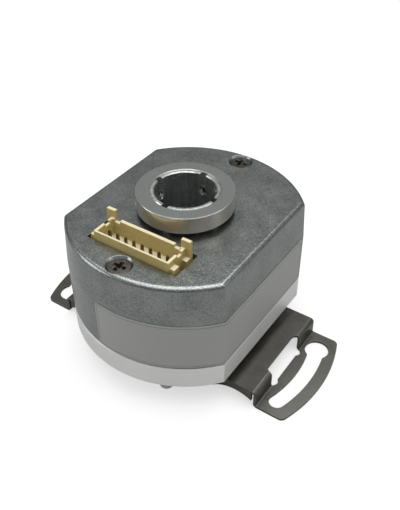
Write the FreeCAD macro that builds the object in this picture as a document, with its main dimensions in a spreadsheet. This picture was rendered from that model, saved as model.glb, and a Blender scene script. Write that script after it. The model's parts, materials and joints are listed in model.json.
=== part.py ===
"""Rotary encoder: hollow-shaft optical encoder of the 1.5 inch class on a flexible bracket.

Frame: origin on the shaft axis at the mounting plane, which is the underside of the bracket's
feet. +Z runs up along the shaft, +X points at one of the two flats of the body and along the feet,
-Y is the side with the connector. Lengths are in millimetres, angles in degrees.
"""
import FreeCAD, Part
import math
import os
from types import SimpleNamespace

import Sketcher

DRIVING_SIZES = {
    # body outline
    "body_radius": 19.05,
    "flat_reach": 15.0,
    # stack of heights, from the mounting plane up
    "plate_lift": 2.91,
    "sheet_thick": 0.45,
    "spacer_height": 1.76,
    "base_height": 4.0,
    "gasket_thick": 0.3,
    "cover_skirt": 8.6,
    "head_room": 2.37,
    "collar_gap": 0.8,
    "collar_height": 2.75,
    # cover and base
    "draft_angle": 2.9,
    "top_round": 0.7,
    "side_wall": 1.65,
    "top_wall": 1.5,
    "spigot_height": 1.78,
    "base_floor": 2.0,
    "spigot_land": 3.3,
    "assembly_gap": 0.1,
    "fit_gap": 0.02,
    "gasket_inset": 0.3,
    "label_thick": 0.12,
    "label_height": 8.5,
    "label_start": -99.5,
    "label_margin": 0.55,
    # cover screws
    "cover_screw_inset": 2.81,
    "cover_boss_radius": 1.9,
    "screw_hole_radius": 1.15,
    "cover_thread_radius": 1.0,
    "screw_head_radius": 2.05,
    "screw_head_height": 1.2,
    "screw_bite": 3.0,
    "recess_width": 0.42,
    "recess_span": 2.1,
    "recess_depth": 0.8,
    # shaft and clamp collar
    "bore_radius": 4.775,
    "seat_radius": 6.0,
    "finger_radius": 5.45,
    "shoulder_radius": 7.0,
    "shoulder_height": 0.68,
    "shaft_recess": 0.15,
    "slot_width": 1.1,
    "slot_relief_radius": 0.7,
    "slot_relief_drop": 0.45,
    "collar_radius": 7.65,
    "collar_chamfer": 0.22,
    "shaft_chamfer": 0.15,
    "cover_shaft_gap": 0.45,
    "set_screw_radius": 0.8,
    "set_screw_angle": -135.0,
    "set_screw_inset": 0.25,
    "set_screw_socket": 0.35,
    # bearings
    "bearing_radius": 9.0,
    "bearing_height": 4.0,
    "bearing_gap": 2.0,
    "race_thick": 0.95,
    "race_chamfer": 0.15,
    "ball_radius": 0.8,
    "ball_clearance": 0.05,
    "cage_thick": 0.6,
    "cage_height": 2.4,
    "pocket_clearance": 0.03,
    "bearing_lip": 1.2,
    "lip_overlap": 0.8,
    "boss_wall": 1.2,
    "ring_height": 0.5,
    "ring_depth": 0.4,
    "ring_stand": 1.0,
    "ring_opening": 2.6,
    "washer_height": 0.3,
    "spacer_ring_thick": 0.7,
    # code disc
    "hub_flange_radius": 9.0,
    "hub_flange_height": 0.6,
    "disc_bore_radius": 7.0,
    "disc_rim_gap": 0.75,
    "disc_well_gap": 1.4,
    "disc_thick": 0.8,
    "track_inset": 1.0,
    # circuit board
    "sensor_gap": 0.25,
    "sensor_height": 1.3,
    "sensor_length": 5.0,
    "sensor_depth": 2.4,
    "board_thick": 1.0,
    "board_gap": 0.3,
    "board_hole_gap": 1.15,
    "board_screw_inset": 3.32,
    "board_thread_radius": 0.78,
    "board_head_radius": 1.4,
    "board_head_height": 0.9,
    "board_screw_bite": 4.0,
    "standoff_radius": 1.4,
    "standoff_stud_radius": 0.7,
    "standoff_stud_length": 1.9,
    "chip_length": 7.0,
    "chip_width": 4.4,
    "chip_height": 1.5,
    "capacitor_length": 2.0,
    "capacitor_width": 1.25,
    "capacitor_height": 1.0,
    # light source
    "lamp_radius": 1.0,
    "lamp_gap": 0.5,
    "lamp_height": 3.0,
    "holder_width": 5.2,
    "holder_depth": 3.4,
    "lead_radius": 0.25,
    "lead_pitch": 2.54,
    "lead_rim_gap": 0.6,
    # connector
    "contact_pitch": 1.5,
    "contact_width": 0.45,
    "contact_depth": 0.4,
    "contact_recess": 0.42,
    "contact_setback": 1.25,
    "contact_tail": 0.5,
    "contact_gap": 0.03,
    "header_end_margin": 1.5,
    "header_depth": 4.4,
    "header_boss_gap": 0.64,
    "header_rise": 1.5,
    "header_floor": 2.55,
    "front_wall": 0.35,
    "back_wall": 0.6,
    "end_wall": 0.5,
    "ear_width": 1.6,
    "ear_rise": 2.8,
    "lug_width": 0.8,
    "lug_depth": 1.2,
    "lug_rise": 0.5,
    "rim_step": 0.5,
    "rim_step_length": 1.0,
    "cutout_side_gap": 0.5,
    "cutout_front_gap": 0.2,
    "cutout_back_gap": 0.6,
    # flexible bracket
    "bracket_half_width": 9.75,
    "bracket_wall_reach": 19.57,
    "bend_radius": 0.25,
    "foot_radius": 26.2,
    "foot_corner": 1.0,
    "plate_hole_radius": 8.0,
    "mount_circle_radius": 23.01,
    "slot_radius": 1.275,
    "keyhole_radius": 1.99,
    "keyhole_angle": 15.7,
    "slot_end_angle": -17.9,
    "window_half_width": 4.7,
    "window_depth": 1.17,
    "window_corner": 0.9,
    "flange_start": 8.5,
    "flange_relief": 0.4,
    "flange_clearance": 0.3,
    "arch_reach": 15.8,
    "arch_radius": 6.1,
    "arch_height": 1.9,
    "ear_inset": 3.75,
    "ear_angle": -68.0,
    "ear_radius": 1.3,
    "bracket_screw_radius": 0.7,
    "bracket_head_radius": 1.1,
    "bracket_head_height": 1.9,
    "bracket_screw_bite": 2.4,
    "bracket_hole_gap": 0.1,
    "spacer_radius": 1.25,
}
BALL_COUNT = 14
CONTACT_COUNT = 8
SHAFT_SLOTS = 4
CLEAR = 1.0       # how far a cutting tool runs past the face it opens

doc = FreeCAD.newDocument("rotary_encoder")
sheet = doc.addObject("Spreadsheet::Sheet", "Sizes")


# ---------------------------------------------------------------- sizes and formulas
class Size:
    """A number together with the sheet formula that yields it."""

    def __init__(self, formula, value):
        self.formula = formula
        self.value = value

    def __add__(self, other):
        other = as_size(other)
        return Size(f"({self.formula} + {other.formula})", self.value + other.value)

    def __sub__(self, other):
        other = as_size(other)
        return Size(f"({self.formula} - {other.formula})", self.value - other.value)

    def __mul__(self, other):
        other = as_size(other)
        return Size(f"({self.formula} * {other.formula})", self.value * other.value)

    def __truediv__(self, other):
        other = as_size(other)
        return Size(f"({self.formula} / {other.formula})", self.value / other.value)

    def __neg__(self):
        return Size(f"(0 - {self.formula})", -self.value)

    __radd__ = __add__
    __rmul__ = __mul__


def as_size(number):
    """Wrap a plain number, so that it can stand in a formula."""
    if isinstance(number, Size):
        return number
    return Size(f"({number})", float(number))


def cosine(angle):
    """Cosine of an angle in degrees."""
    return Size(f"cos({angle.formula} * 1 deg)", math.cos(math.radians(angle.value)))


def sine(angle):
    """Sine of an angle in degrees."""
    return Size(f"sin({angle.formula} * 1 deg)", math.sin(math.radians(angle.value)))


def root(square):
    """Square root of a size."""
    return Size(f"sqrt({square.formula})", math.sqrt(square.value))


def smaller(first, second):
    """The smaller of two sizes."""
    return Size(f"min({first.formula}; {second.formula})", min(first.value, second.value))


def fill_sheet():
    """Write every driving size into the sheet under its own alias."""
    for row, (alias, number) in enumerate(DRIVING_SIZES.items(), start=1):
        sheet.set(f"A{row}", alias)
        sheet.set(f"B{row}", str(number))
        sheet.setAlias(f"B{row}", alias)
    doc.recompute()
    return SimpleNamespace(**{
        alias: Size(f"Sizes.{alias}", number) for alias, number in DRIVING_SIZES.items()})


d = fill_sheet()

# ---------------------------------------------------------------- levels, from the mounting plane up
plate_top = d.plate_lift + d.sheet_thick
base_bottom = plate_top + d.spacer_height
band_top = base_bottom + d.base_height
cover_bottom = band_top + d.gasket_thick
skirt_top = cover_bottom + d.cover_skirt
spigot_top = band_top + d.spigot_height
floor_top = base_bottom + d.base_floor
lower_seat = base_bottom + d.bearing_lip
lower_top = lower_seat + d.bearing_height
upper_seat = lower_top + d.bearing_gap
boss_top = upper_seat + d.bearing_height
hub_bottom = boss_top + d.shoulder_height
disc_bottom = hub_bottom + d.hub_flange_height
disc_top = disc_bottom + d.disc_thick
board_bottom = disc_top + d.sensor_gap + d.sensor_height
board_top = board_bottom + d.board_thick
cavity_top = board_top + d.head_room
cover_top = cavity_top + d.top_wall
cover_crown = cover_top - skirt_top
collar_bottom = cover_top + d.collar_gap
collar_top = collar_bottom + d.collar_height
header_top = cover_top + d.header_rise

# ---------------------------------------------------------------- radii and places that pieces share
cavity_radius = d.body_radius - d.side_wall
cavity_reach = d.flat_reach - d.side_wall
spigot_radius = cavity_radius - d.assembly_gap
spigot_reach = cavity_reach - d.assembly_gap
well_radius = spigot_radius - d.spigot_land
pitch_radius = (d.seat_radius + d.bearing_radius) / 2
groove_radius = d.ball_radius + d.ball_clearance
cover_screw_offset = d.body_radius - d.cover_screw_inset
board_screw_circle = spigot_radius - d.spigot_land / 2
disc_radius = smaller(cavity_reach - d.disc_rim_gap, well_radius - d.disc_well_gap)
track_radius = disc_radius - d.track_inset
lead_offset = disc_radius + d.lead_rim_gap
header_length = (CONTACT_COUNT - 1) * d.contact_pitch + 2 * d.header_end_margin
header_front = cover_screw_offset - d.cover_boss_radius - d.header_boss_gap
ear_circle = d.body_radius - d.ear_inset
ear_x = ear_circle * cosine(d.ear_angle)
ear_y = ear_circle * sine(d.ear_angle)
board_screw_x = cavity_reach - d.board_screw_inset
board_screw_y = root(board_screw_circle * board_screw_circle - board_screw_x * board_screw_x)
header_back = header_front - d.header_depth
foot_inner = d.bracket_wall_reach - d.sheet_thick


# ---------------------------------------------------------------- shared construction
def bind(item, path, size):
    """Tie a property to its sheet formula."""
    item.setExpression(path, as_size(size).formula)


def place(item, point):
    """Tie the position of an object to sheet formulas."""
    for letter, size in zip("xyz", point):
        bind(item, f"Placement.Base.{letter}", size)


def cylinder(name, radius, height, point=(0, 0, 0)):
    """Upright cylinder whose lower face is centred on the point."""
    item = doc.addObject("Part::Cylinder", name)
    bind(item, "Radius", radius)
    bind(item, "Height", height)
    place(item, point)
    return item


def sector(name, radius, height, sweep, start, bottom):
    """Upright slice of a cylinder about the Z axis, from one angle through a sweep."""
    item = cylinder(name, radius, height, (0, 0, bottom))
    bind(item, "Angle", sweep)
    item.Placement.Rotation = FreeCAD.Rotation(FreeCAD.Vector(0, 0, 1), 0.01)
    bind(item, "Placement.Rotation.Angle", start)
    return item


def cone(name, low_radius, high_radius, height, point):
    """Upright cone whose lower face is centred on the point."""
    item = doc.addObject("Part::Cone", name)
    bind(item, "Radius1", low_radius)
    bind(item, "Radius2", high_radius)
    bind(item, "Height", height)
    place(item, point)
    return item


def block(name, low, high):
    """Box between two corners."""
    item = doc.addObject("Part::Box", name)
    for side, near, far in zip(("Length", "Width", "Height"), low, high):
        bind(item, side, as_size(far) - near)
    place(item, low)
    return item


def prism_with_flats(name, radius, reach, bottom, height):
    """Round prism cut by a flat on its +X and its -X side."""
    round_part = cylinder(f"{name}_round", radius, height, (0, 0, bottom))
    flat_part = block(f"{name}_flats", (-reach, -radius, bottom), (reach, radius, bottom + height))
    return common(name, round_part, flat_part)


def join(kind, name, members):
    """Boolean of several members."""
    item = doc.addObject(kind, name)
    item.Shapes = list(members)
    return item


def fuse(name, *members):
    """One solid out of several that touch or overlap."""
    item = join("Part::MultiFuse", name, members)
    item.Refine = True
    return item


def common(name, *members):
    """What several solids share."""
    return join("Part::MultiCommon", name, members)


def cut(name, base, *tools):
    """Base without the tools."""
    item = doc.addObject("Part::Cut", name)
    item.Base = base
    item.Tool = tools[0] if len(tools) == 1 else group(f"{name}_tools", *tools)
    return item


def group(name, *members):
    """Separate solids kept together in one sub-part."""
    item = doc.addObject("Part::Compound", name)
    item.Links = list(members)
    return item


def ring(name, inner, outer, bottom, height):
    """Plain ring about the Z axis."""
    outside = cylinder(f"{name}_outside", outer, height, (0, 0, bottom))
    inside = cylinder(f"{name}_inside", inner, height + 2 * CLEAR, (0, 0, bottom - CLEAR))
    return cut(name, outside, inside)


def turned_about(name, item, angle):
    """Turn an object about the Z axis by a number of degrees."""
    item.Placement = FreeCAD.Placement(
        FreeCAD.Vector(0, 0, 0), FreeCAD.Rotation(FreeCAD.Vector(0, 0, 1), angle))
    item.Label = name
    return item


def radial_cylinder(name, radius, start, length, height, angle):
    """Cylinder that points away from the Z axis at a given height and angle."""
    item = doc.addObject("Part::Cylinder", name)
    bind(item, "Radius", radius)
    bind(item, "Height", length)
    outward = FreeCAD.Rotation(FreeCAD.Vector(0, 0, 1), angle.value)
    lying = FreeCAD.Rotation(FreeCAD.Vector(0, 1, 0), 90)
    item.Placement.Rotation = outward.multiply(lying)
    place(item, (start * cosine(angle), start * sine(angle), height))
    return item


def new_sketch(body, name, plane_role, offset=0):
    """Sketch on one of the body's own origin planes, moved along its normal."""
    sketch = body.newObject("Sketcher::SketchObject", name)
    plane = next(item for item in body.Origin.OriginFeatures if item.Role == plane_role)
    sketch.AttachmentSupport = [(plane, "")]
    sketch.MapMode = "FlatFace"
    bind(sketch, "AttachmentOffset.Base.z", offset)
    return sketch


def bind_constraint(sketch, constraint, size):
    """Add a dimension to a sketch and tie it to its formula."""
    index = sketch.addConstraint(constraint)
    bind(sketch, f"Constraints[{index}]", size)


def pin_vertex(sketch, line, vertex, point):
    """Dimension one vertex of a sketch from the origin."""
    for kind, axis, size in (("DistanceX", -2, point[0]), ("DistanceY", -1, point[1])):
        size = as_size(size)
        if size.value == 0:
            sketch.addConstraint(Sketcher.Constraint("PointOnObject", line, vertex, axis))
        else:
            constraint = Sketcher.Constraint(kind, -1, 1, line, vertex, size.value)
            bind_constraint(sketch, constraint, size)


def polygon(sketch, points):
    """Closed outline of straight lines, each corner dimensioned from the origin."""
    corners = [FreeCAD.Vector(as_size(x).value, as_size(y).value, 0) for x, y in points]
    first = sketch.GeometryCount
    count = len(corners)
    for index in range(count):
        line = Part.LineSegment(corners[index], corners[(index + 1) % count])
        sketch.addGeometry(line, False)
    for index in range(count):
        follower = first + (index + 1) % count
        sketch.addConstraint(Sketcher.Constraint("Coincident", first + index, 2, follower, 1))
        pin_vertex(sketch, first + index, 1, points[index])


def circle(sketch, point, radius):
    """Circle dimensioned from the origin."""
    centre = FreeCAD.Vector(as_size(point[0]).value, as_size(point[1]).value, 0)
    normal = FreeCAD.Vector(0, 0, 1)
    index = sketch.addGeometry(Part.Circle(centre, normal, as_size(radius).value), False)
    bind_constraint(sketch, Sketcher.Constraint("Radius", index, as_size(radius).value), radius)
    pin_vertex(sketch, index, 3, point)


def outline_with_flats(sketch, radius, reach):
    """Body outline: two arcs about the axis joined by two flats."""
    corner_angle = math.acos(reach.value / radius.value)
    corner_y = radius.value * math.sin(corner_angle)
    whole = Part.Circle(FreeCAD.Vector(0, 0, 0), FreeCAD.Vector(0, 0, 1), radius.value)
    for start in (0, math.pi):
        arc = Part.ArcOfCircle(whole, start + corner_angle, start + math.pi - corner_angle)
        sketch.addGeometry(arc, False)
    for side in (-1, 1):
        upper = FreeCAD.Vector(side * reach.value, -side * corner_y, 0)
        lower = FreeCAD.Vector(side * reach.value, side * corner_y, 0)
        sketch.addGeometry(Part.LineSegment(upper, lower), False)
    back, front, left, right = range(4)
    for arc in (back, front):
        sketch.addConstraint(Sketcher.Constraint("Coincident", arc, 3, -1, 1))
    for earlier, later in ((back, left), (left, front), (front, right), (right, back)):
        sketch.addConstraint(Sketcher.Constraint("Coincident", earlier, 2, later, 1))
    for line in (left, right):
        sketch.addConstraint(Sketcher.Constraint("Vertical", line))
    sketch.addConstraint(Sketcher.Constraint("Equal", back, front))
    bind_constraint(sketch, Sketcher.Constraint("Radius", back, radius.value), radius)
    right_reach = Sketcher.Constraint("DistanceX", -1, 1, right, 1, reach.value)
    bind_constraint(sketch, right_reach, reach)
    left_reach = Sketcher.Constraint("DistanceX", left, 1, -1, 1, reach.value)
    bind_constraint(sketch, left_reach, reach)


def pad(body, sketch, length, taper=None):
    """Raise a sketch along its normal, drawn in by a draft angle if one is given."""
    feature = body.newObject("PartDesign::Pad", f"{sketch.Name}_pad")
    feature.Profile = sketch
    bind(feature, "Length", length)
    if taper is not None:
        bind(feature, "TaperAngle", -taper)
    return feature


def pocket(body, sketch, depth, upward=False):
    """Cut a sketch out of the body, down from its plane or up from it."""
    feature = body.newObject("PartDesign::Pocket", f"{sketch.Name}_pocket")
    feature.Profile = sketch
    bind(feature, "Length", depth)
    feature.Reversed = upward
    return feature


def polar_copies(body, features, count):
    """Repeat features evenly about the Z axis."""
    axis = next(item for item in body.Origin.OriginFeatures if item.Role == "Z_Axis")
    pattern = body.newObject("PartDesign::PolarPattern", f"{body.Name}_pattern")
    pattern.Originals = features
    pattern.Axis = (axis, [""])
    pattern.Angle = 360
    pattern.Occurrences = count
    body.Tip = pattern
    return pattern


def turned(name, outline):
    """Solid of revolution about Z from corners given as radius and height."""
    body = doc.addObject("PartDesign::Body", name)
    sketch = new_sketch(body, f"{name}_profile", "XZ_Plane")
    polygon(sketch, outline)
    feature = body.newObject("PartDesign::Revolution", f"{name}_turned")
    feature.Profile = sketch
    feature.ReferenceAxis = (sketch, ["V_Axis"])
    feature.Angle = 360
    return body


def round_edges(body, feature, radius, wanted):
    """Round the edges of the newest feature that the test picks."""
    doc.recompute()
    names = [f"Edge{number}" for number, edge in enumerate(feature.Shape.Edges, start=1)
             if wanted(edge)]
    fillet = body.newObject("PartDesign::Fillet", f"{feature.Name}_round")
    fillet.Base = (feature, names)
    bind(fillet, "Radius", radius)
    return fillet


# ---------------------------------------------------------------- housing
def make_base():
    """Machined base: bright band, spigot for the cover, well and bearing boss."""
    band = prism_with_flats("base_band", d.body_radius, d.flat_reach, base_bottom, d.base_height)
    spigot = prism_with_flats(
        "base_spigot", spigot_radius, spigot_reach, base_bottom, spigot_top - base_bottom)
    well = prism_with_flats(
        "base_well", well_radius, spigot_reach - d.side_wall, floor_top, spigot_top - floor_top + CLEAR)
    boss_radius = d.bearing_radius + d.boss_wall
    boss = cylinder("base_boss", boss_radius, boss_top - base_bottom, (0, 0, base_bottom))
    solid = fuse("base_blank", cut("base_shell", fuse("base_outside", band, spigot), well), boss)
    tools = [
        cylinder("base_seat", d.bearing_radius, boss_top - lower_seat + CLEAR, (0, 0, lower_seat)),
        cylinder("base_mouth", d.bearing_radius - d.lip_overlap, d.bearing_lip + 2 * CLEAR,
                 (0, 0, base_bottom - CLEAR)),
    ]
    for side, name in ((-1, "front"), (1, "back")):
        screw_y = side * cover_screw_offset
        tools.append(cylinder(f"base_{name}_notch", d.cover_boss_radius + d.assembly_gap,
                              d.spigot_height + CLEAR, (0, screw_y, band_top)))
        tools.append(cylinder(f"base_{name}_thread", d.cover_thread_radius,
                              d.screw_bite + CLEAR, (0, screw_y, band_top - d.screw_bite)))
        tools.append(cylinder(f"base_{name}_bracket_thread", d.bracket_screw_radius,
                              d.bracket_screw_bite + CLEAR,
                              (-side * ear_x, -side * ear_y, base_bottom - CLEAR)))
    for index, (x, y) in enumerate(board_screw_places()):
        tools.append(cylinder(f"base_stud_hole_{index}", d.standoff_stud_radius,
                              d.standoff_stud_length + CLEAR,
                              (x, y, spigot_top - d.standoff_stud_length)))
    return cut("base", solid, *tools)


def board_screw_places():
    """The four places of the circuit board's screws."""
    return [(side_x * board_screw_x, side_y * board_screw_y)
            for side_x in (-1, 1) for side_y in (-1, 1)]


def make_gasket():
    """Flat gasket between the base's shoulder and the cover's rim."""
    outside = prism_with_flats("gasket_outside", d.body_radius - d.gasket_inset,
                               d.flat_reach - d.gasket_inset, band_top, d.gasket_thick)
    inside = prism_with_flats("gasket_inside", cavity_radius, cavity_reach,
                              band_top - CLEAR, d.gasket_thick + 2 * CLEAR)
    tools = [inside]
    for side, name in ((-1, "front"), (1, "back")):
        tools.append(cylinder(f"gasket_{name}_notch", d.cover_boss_radius + d.assembly_gap,
                              d.gasket_thick + 2 * CLEAR,
                              (0, side * cover_screw_offset, band_top - CLEAR)))
    return cut("cover_gasket", outside, *tools)


def make_cover():
    """Cast cover: straight skirt, drafted crown, two screw bosses, shaft hole and connector cut-out."""
    body = doc.addObject("PartDesign::Body", "cover")
    skirt = new_sketch(body, "cover_skirt_outline", "XY_Plane", cover_bottom)
    outline_with_flats(skirt, d.body_radius, d.flat_reach)
    pad(body, skirt, d.cover_skirt)
    crown = new_sketch(body, "cover_crown_outline", "XY_Plane", skirt_top)
    outline_with_flats(crown, d.body_radius, d.flat_reach)
    crown_pad = pad(body, crown, cover_crown, taper=d.draft_angle)
    round_edges(body, crown_pad, d.top_round,
                lambda edge: all(abs(v.Z - cover_top.value) < 1e-4 for v in edge.Vertexes))
    cavity = new_sketch(body, "cover_cavity", "XY_Plane", cover_bottom)
    outline_with_flats(cavity, cavity_radius, cavity_reach)
    pocket(body, cavity, cavity_top - cover_bottom, upward=True)
    for side, name in ((-1, "front"), (1, "back")):
        boss = new_sketch(body, f"cover_{name}_boss", "XY_Plane", band_top)
        circle(boss, (0, side * cover_screw_offset), d.cover_boss_radius)
        pad(body, boss, cavity_top - band_top + d.top_wall / 2)
    shaft_hole = new_sketch(body, "cover_shaft_hole", "XY_Plane", cover_top + CLEAR)
    circle(shaft_hole, (0, 0), d.finger_radius + d.cover_shaft_gap)
    pocket(body, shaft_hole, d.top_wall + 2 * CLEAR)
    cutout = new_sketch(body, "cover_connector_cutout", "XY_Plane", cover_top + CLEAR)
    half_length = header_length / 2 + d.lug_width + d.cutout_side_gap
    near = -header_front - d.cutout_front_gap
    far = -header_back + d.cutout_back_gap + d.back_wall / 2
    polygon(cutout, [(-half_length, near), (half_length, near), (half_length, far), (-half_length, far)])
    pocket(body, cutout, d.top_wall + 2 * CLEAR)
    for side, name in ((-1, "front"), (1, "back")):
        hole = new_sketch(body, f"cover_{name}_screw_hole", "XY_Plane", cover_top + CLEAR)
        circle(hole, (0, side * cover_screw_offset), d.screw_hole_radius)
        pocket(body, hole, cover_top - band_top + 2 * CLEAR)
    sinks = []
    for side, name in ((-1, "front"), (1, "back")):
        sinks.append(screw_head(f"cover_{name}_sink", side, d.assembly_gap / 2))
    body.Label = "cover_casting"
    return cut("top_cover", body, *sinks)


def screw_head(name, side, gap):
    """Cone and short cylinder of a countersunk head, wider than the head by a gap."""
    screw_y = side * cover_screw_offset
    slope = cone(f"{name}_cone", d.cover_thread_radius + gap, d.screw_head_radius + gap,
                 d.screw_head_height, (0, screw_y, cover_top - d.screw_head_height))
    lip = cylinder(f"{name}_lip", d.screw_head_radius + gap, CLEAR, (0, screw_y, cover_top))
    return fuse(name, slope, lip)


def make_cover_screws():
    """Two long countersunk screws with cross recesses."""
    screws = []
    for side, name in ((-1, "front"), (1, "back")):
        screw_y = side * cover_screw_offset
        head = cone(f"{name}_screw_head", d.cover_thread_radius, d.screw_head_radius,
                    d.screw_head_height, (0, screw_y, cover_top - d.screw_head_height))
        length = cover_top - band_top + d.screw_bite
        shank = cylinder(f"{name}_screw_shank", d.cover_thread_radius, length - d.screw_head_height / 2,
                         (0, screw_y, band_top - d.screw_bite))
        tools = []
        for width, depth, arm in ((d.recess_span, d.recess_width, "long"),
                                  (d.recess_width, d.recess_span, "cross")):
            low = (-width / 2, screw_y - depth / 2, cover_top - d.recess_depth)
            high = (width / 2, screw_y + depth / 2, cover_top + CLEAR)
            tools.append(block(f"{name}_screw_{arm}_recess", low, high))
        solid = fuse(f"{name}_screw_blank", head, shank)
        screws.append(cut(f"{name}_screw", solid, fuse(f"{name}_screw_recess", *tools)))
    return group("cover_screws", *screws)


def make_label():
    """Thin label that wraps the front arc, one corner and the +X flat."""
    body = doc.addObject("PartDesign::Body", "side_label")
    bottom = skirt_top - d.label_height
    outside = new_sketch(body, "label_outside", "XY_Plane", bottom)
    under = d.fit_gap
    outline_with_flats(outside, d.body_radius + under + d.label_thick,
                       d.flat_reach + under + d.label_thick)
    pad(body, outside, d.label_height)
    inside = new_sketch(body, "label_inside", "XY_Plane", skirt_top)
    outline_with_flats(inside, d.body_radius + under, d.flat_reach + under)
    pocket(body, inside, d.label_height)
    waste = new_sketch(body, "label_waste", "XY_Plane", skirt_top + CLEAR)
    far = 2 * d.body_radius
    corner_y = root(d.body_radius * d.body_radius - d.flat_reach * d.flat_reach)
    end_y = corner_y - d.label_margin
    start = (far * cosine(d.label_start), far * sine(d.label_start))
    polygon(waste, [(0, 0), start, (-far, -far), (-far, far), (far, far), (far, end_y), (0, end_y)])
    pocket(body, waste, d.label_height + 2 * CLEAR)
    return body


# ---------------------------------------------------------------- shaft
def make_shaft():
    """Hollow shaft with bearing seat, ring groove, shoulder and slotted clamping fingers."""
    bottom = base_bottom + d.shaft_recess
    groove_floor = d.seat_radius - d.ring_depth
    body = turned("hollow_shaft", [
        (d.bore_radius, bottom),
        (d.seat_radius, bottom),
        (d.seat_radius, lower_seat - d.ring_height),
        (groove_floor, lower_seat - d.ring_height),
        (groove_floor, lower_seat),
        (d.seat_radius, lower_seat),
        (d.seat_radius, boss_top),
        (d.shoulder_radius, boss_top),
        (d.shoulder_radius, hub_bottom),
        (d.finger_radius, hub_bottom),
        (d.finger_radius, collar_top - d.shaft_chamfer),
        (d.finger_radius - d.shaft_chamfer, collar_top),
        (d.bore_radius + d.shaft_chamfer, collar_top),
        (d.bore_radius, collar_top - d.shaft_chamfer),
    ])
    slot_bottom = cover_top + d.slot_relief_drop
    slot = new_sketch(body, "shaft_slot", "XY_Plane", collar_top + CLEAR)
    near = d.bore_radius - CLEAR
    far = d.finger_radius + CLEAR
    half = d.slot_width / 2
    polygon(slot, [(near, -half), (far, -half), (far, half), (near, half)])
    slot_cut = pocket(body, slot, collar_top - slot_bottom + CLEAR)
    relief = new_sketch(body, "shaft_relief", "YZ_Plane", near)
    circle(relief, (0, slot_bottom), d.slot_relief_radius)
    relief_cut = pocket(body, relief, far - near, upward=True)
    polar_copies(body, [slot_cut, relief_cut], SHAFT_SLOTS)
    return body


def set_screw_angles():
    """Angles of the two set screws, on opposite fingers."""
    return {"first": d.set_screw_angle, "second": d.set_screw_angle + 180}


def make_collar():
    """Clamp collar round the fingers, with two threaded radial holes."""
    chamfer = d.collar_chamfer
    bore = d.finger_radius + d.fit_gap
    blank = turned("collar_blank", [
        (bore, collar_bottom),
        (d.collar_radius - chamfer, collar_bottom),
        (d.collar_radius, collar_bottom + chamfer),
        (d.collar_radius, collar_top - chamfer),
        (d.collar_radius - chamfer, collar_top),
        (bore + chamfer / 2, collar_top),
        (bore, collar_top - chamfer / 2),
    ])
    middle = (collar_bottom + collar_top) / 2
    holes = []
    for name, angle in set_screw_angles().items():
        holes.append(radial_cylinder(f"collar_{name}_hole", d.set_screw_radius + d.fit_gap,
                                     d.finger_radius - CLEAR,
                                     d.collar_radius - d.finger_radius + 2 * CLEAR, middle, angle))
    return cut("clamp_collar", blank, *holes)


def make_set_screws():
    """Two grub screws that press the fingers onto the driven shaft."""
    middle = (collar_bottom + collar_top) / 2
    outer = d.collar_radius - d.set_screw_inset
    length = outer - d.finger_radius
    screws = []
    for name, angle in set_screw_angles().items():
        blank = radial_cylinder(f"{name}_set_screw_blank", d.set_screw_radius, d.finger_radius,
                                length, middle, angle)
        socket = radial_cylinder(f"{name}_set_screw_socket", d.set_screw_socket,
                                 outer - length / 2, length, middle, angle)
        screws.append(cut(f"{name}_set_screw", blank, socket))
    return group("set_screws", *screws)


def make_retaining_ring():
    """Open ring in the shaft's groove under the lower bearing."""
    bottom = lower_seat - d.ring_height
    whole = ring("retaining_ring_whole", d.seat_radius - d.ring_depth + d.fit_gap,
                 d.seat_radius + d.ring_stand, bottom, d.ring_height)
    reach = d.seat_radius + d.ring_stand + CLEAR
    half = d.ring_opening / 2
    opening = block("retaining_ring_opening", (0, -half, bottom - CLEAR),
                    (reach, half, lower_seat + CLEAR))
    return cut("retaining_ring", whole, opening)


# ---------------------------------------------------------------- bearings
def make_race(name, inner, outer, seat):
    """Bearing race: a chamfered ring with a ball groove."""
    chamfer = d.race_chamfer
    top = seat + d.bearing_height
    blank = turned(f"{name}_blank", [
        (inner + chamfer, seat),
        (outer - chamfer, seat),
        (outer, seat + chamfer),
        (outer, top - chamfer),
        (outer - chamfer, top),
        (inner + chamfer, top),
        (inner, top - chamfer),
        (inner, seat + chamfer),
    ])
    track = doc.addObject("Part::Torus", f"{name}_track")
    bind(track, "Radius1", pitch_radius)
    bind(track, "Radius2", groove_radius)
    place(track, (0, 0, seat + d.bearing_height / 2))
    return cut(name, blank, track)


def make_ball_set(name, seat):
    """Balls of one bearing and the cage that spaces them."""
    middle = seat + d.bearing_height / 2
    balls = []
    pockets = []
    for index in range(BALL_COUNT):
        angle = as_size(360.0 * index / BALL_COUNT)
        ball = doc.addObject("Part::Sphere", f"{name}_ball_{index}")
        bind(ball, "Radius", d.ball_radius)
        place(ball, (pitch_radius * cosine(angle), pitch_radius * sine(angle), middle))
        balls.append(ball)
        pockets.append(radial_cylinder(f"{name}_pocket_{index}", d.ball_radius + d.pocket_clearance,
                                       pitch_radius - CLEAR, 2 * CLEAR, middle, angle))
    blank = ring(f"{name}_cage_blank", pitch_radius - d.cage_thick / 2,
                 pitch_radius + d.cage_thick / 2, middle - d.cage_height / 2, d.cage_height)
    return [group(f"{name}_bearing_balls", *balls), cut(f"{name}_bearing_cage", blank, *pockets)]


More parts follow.
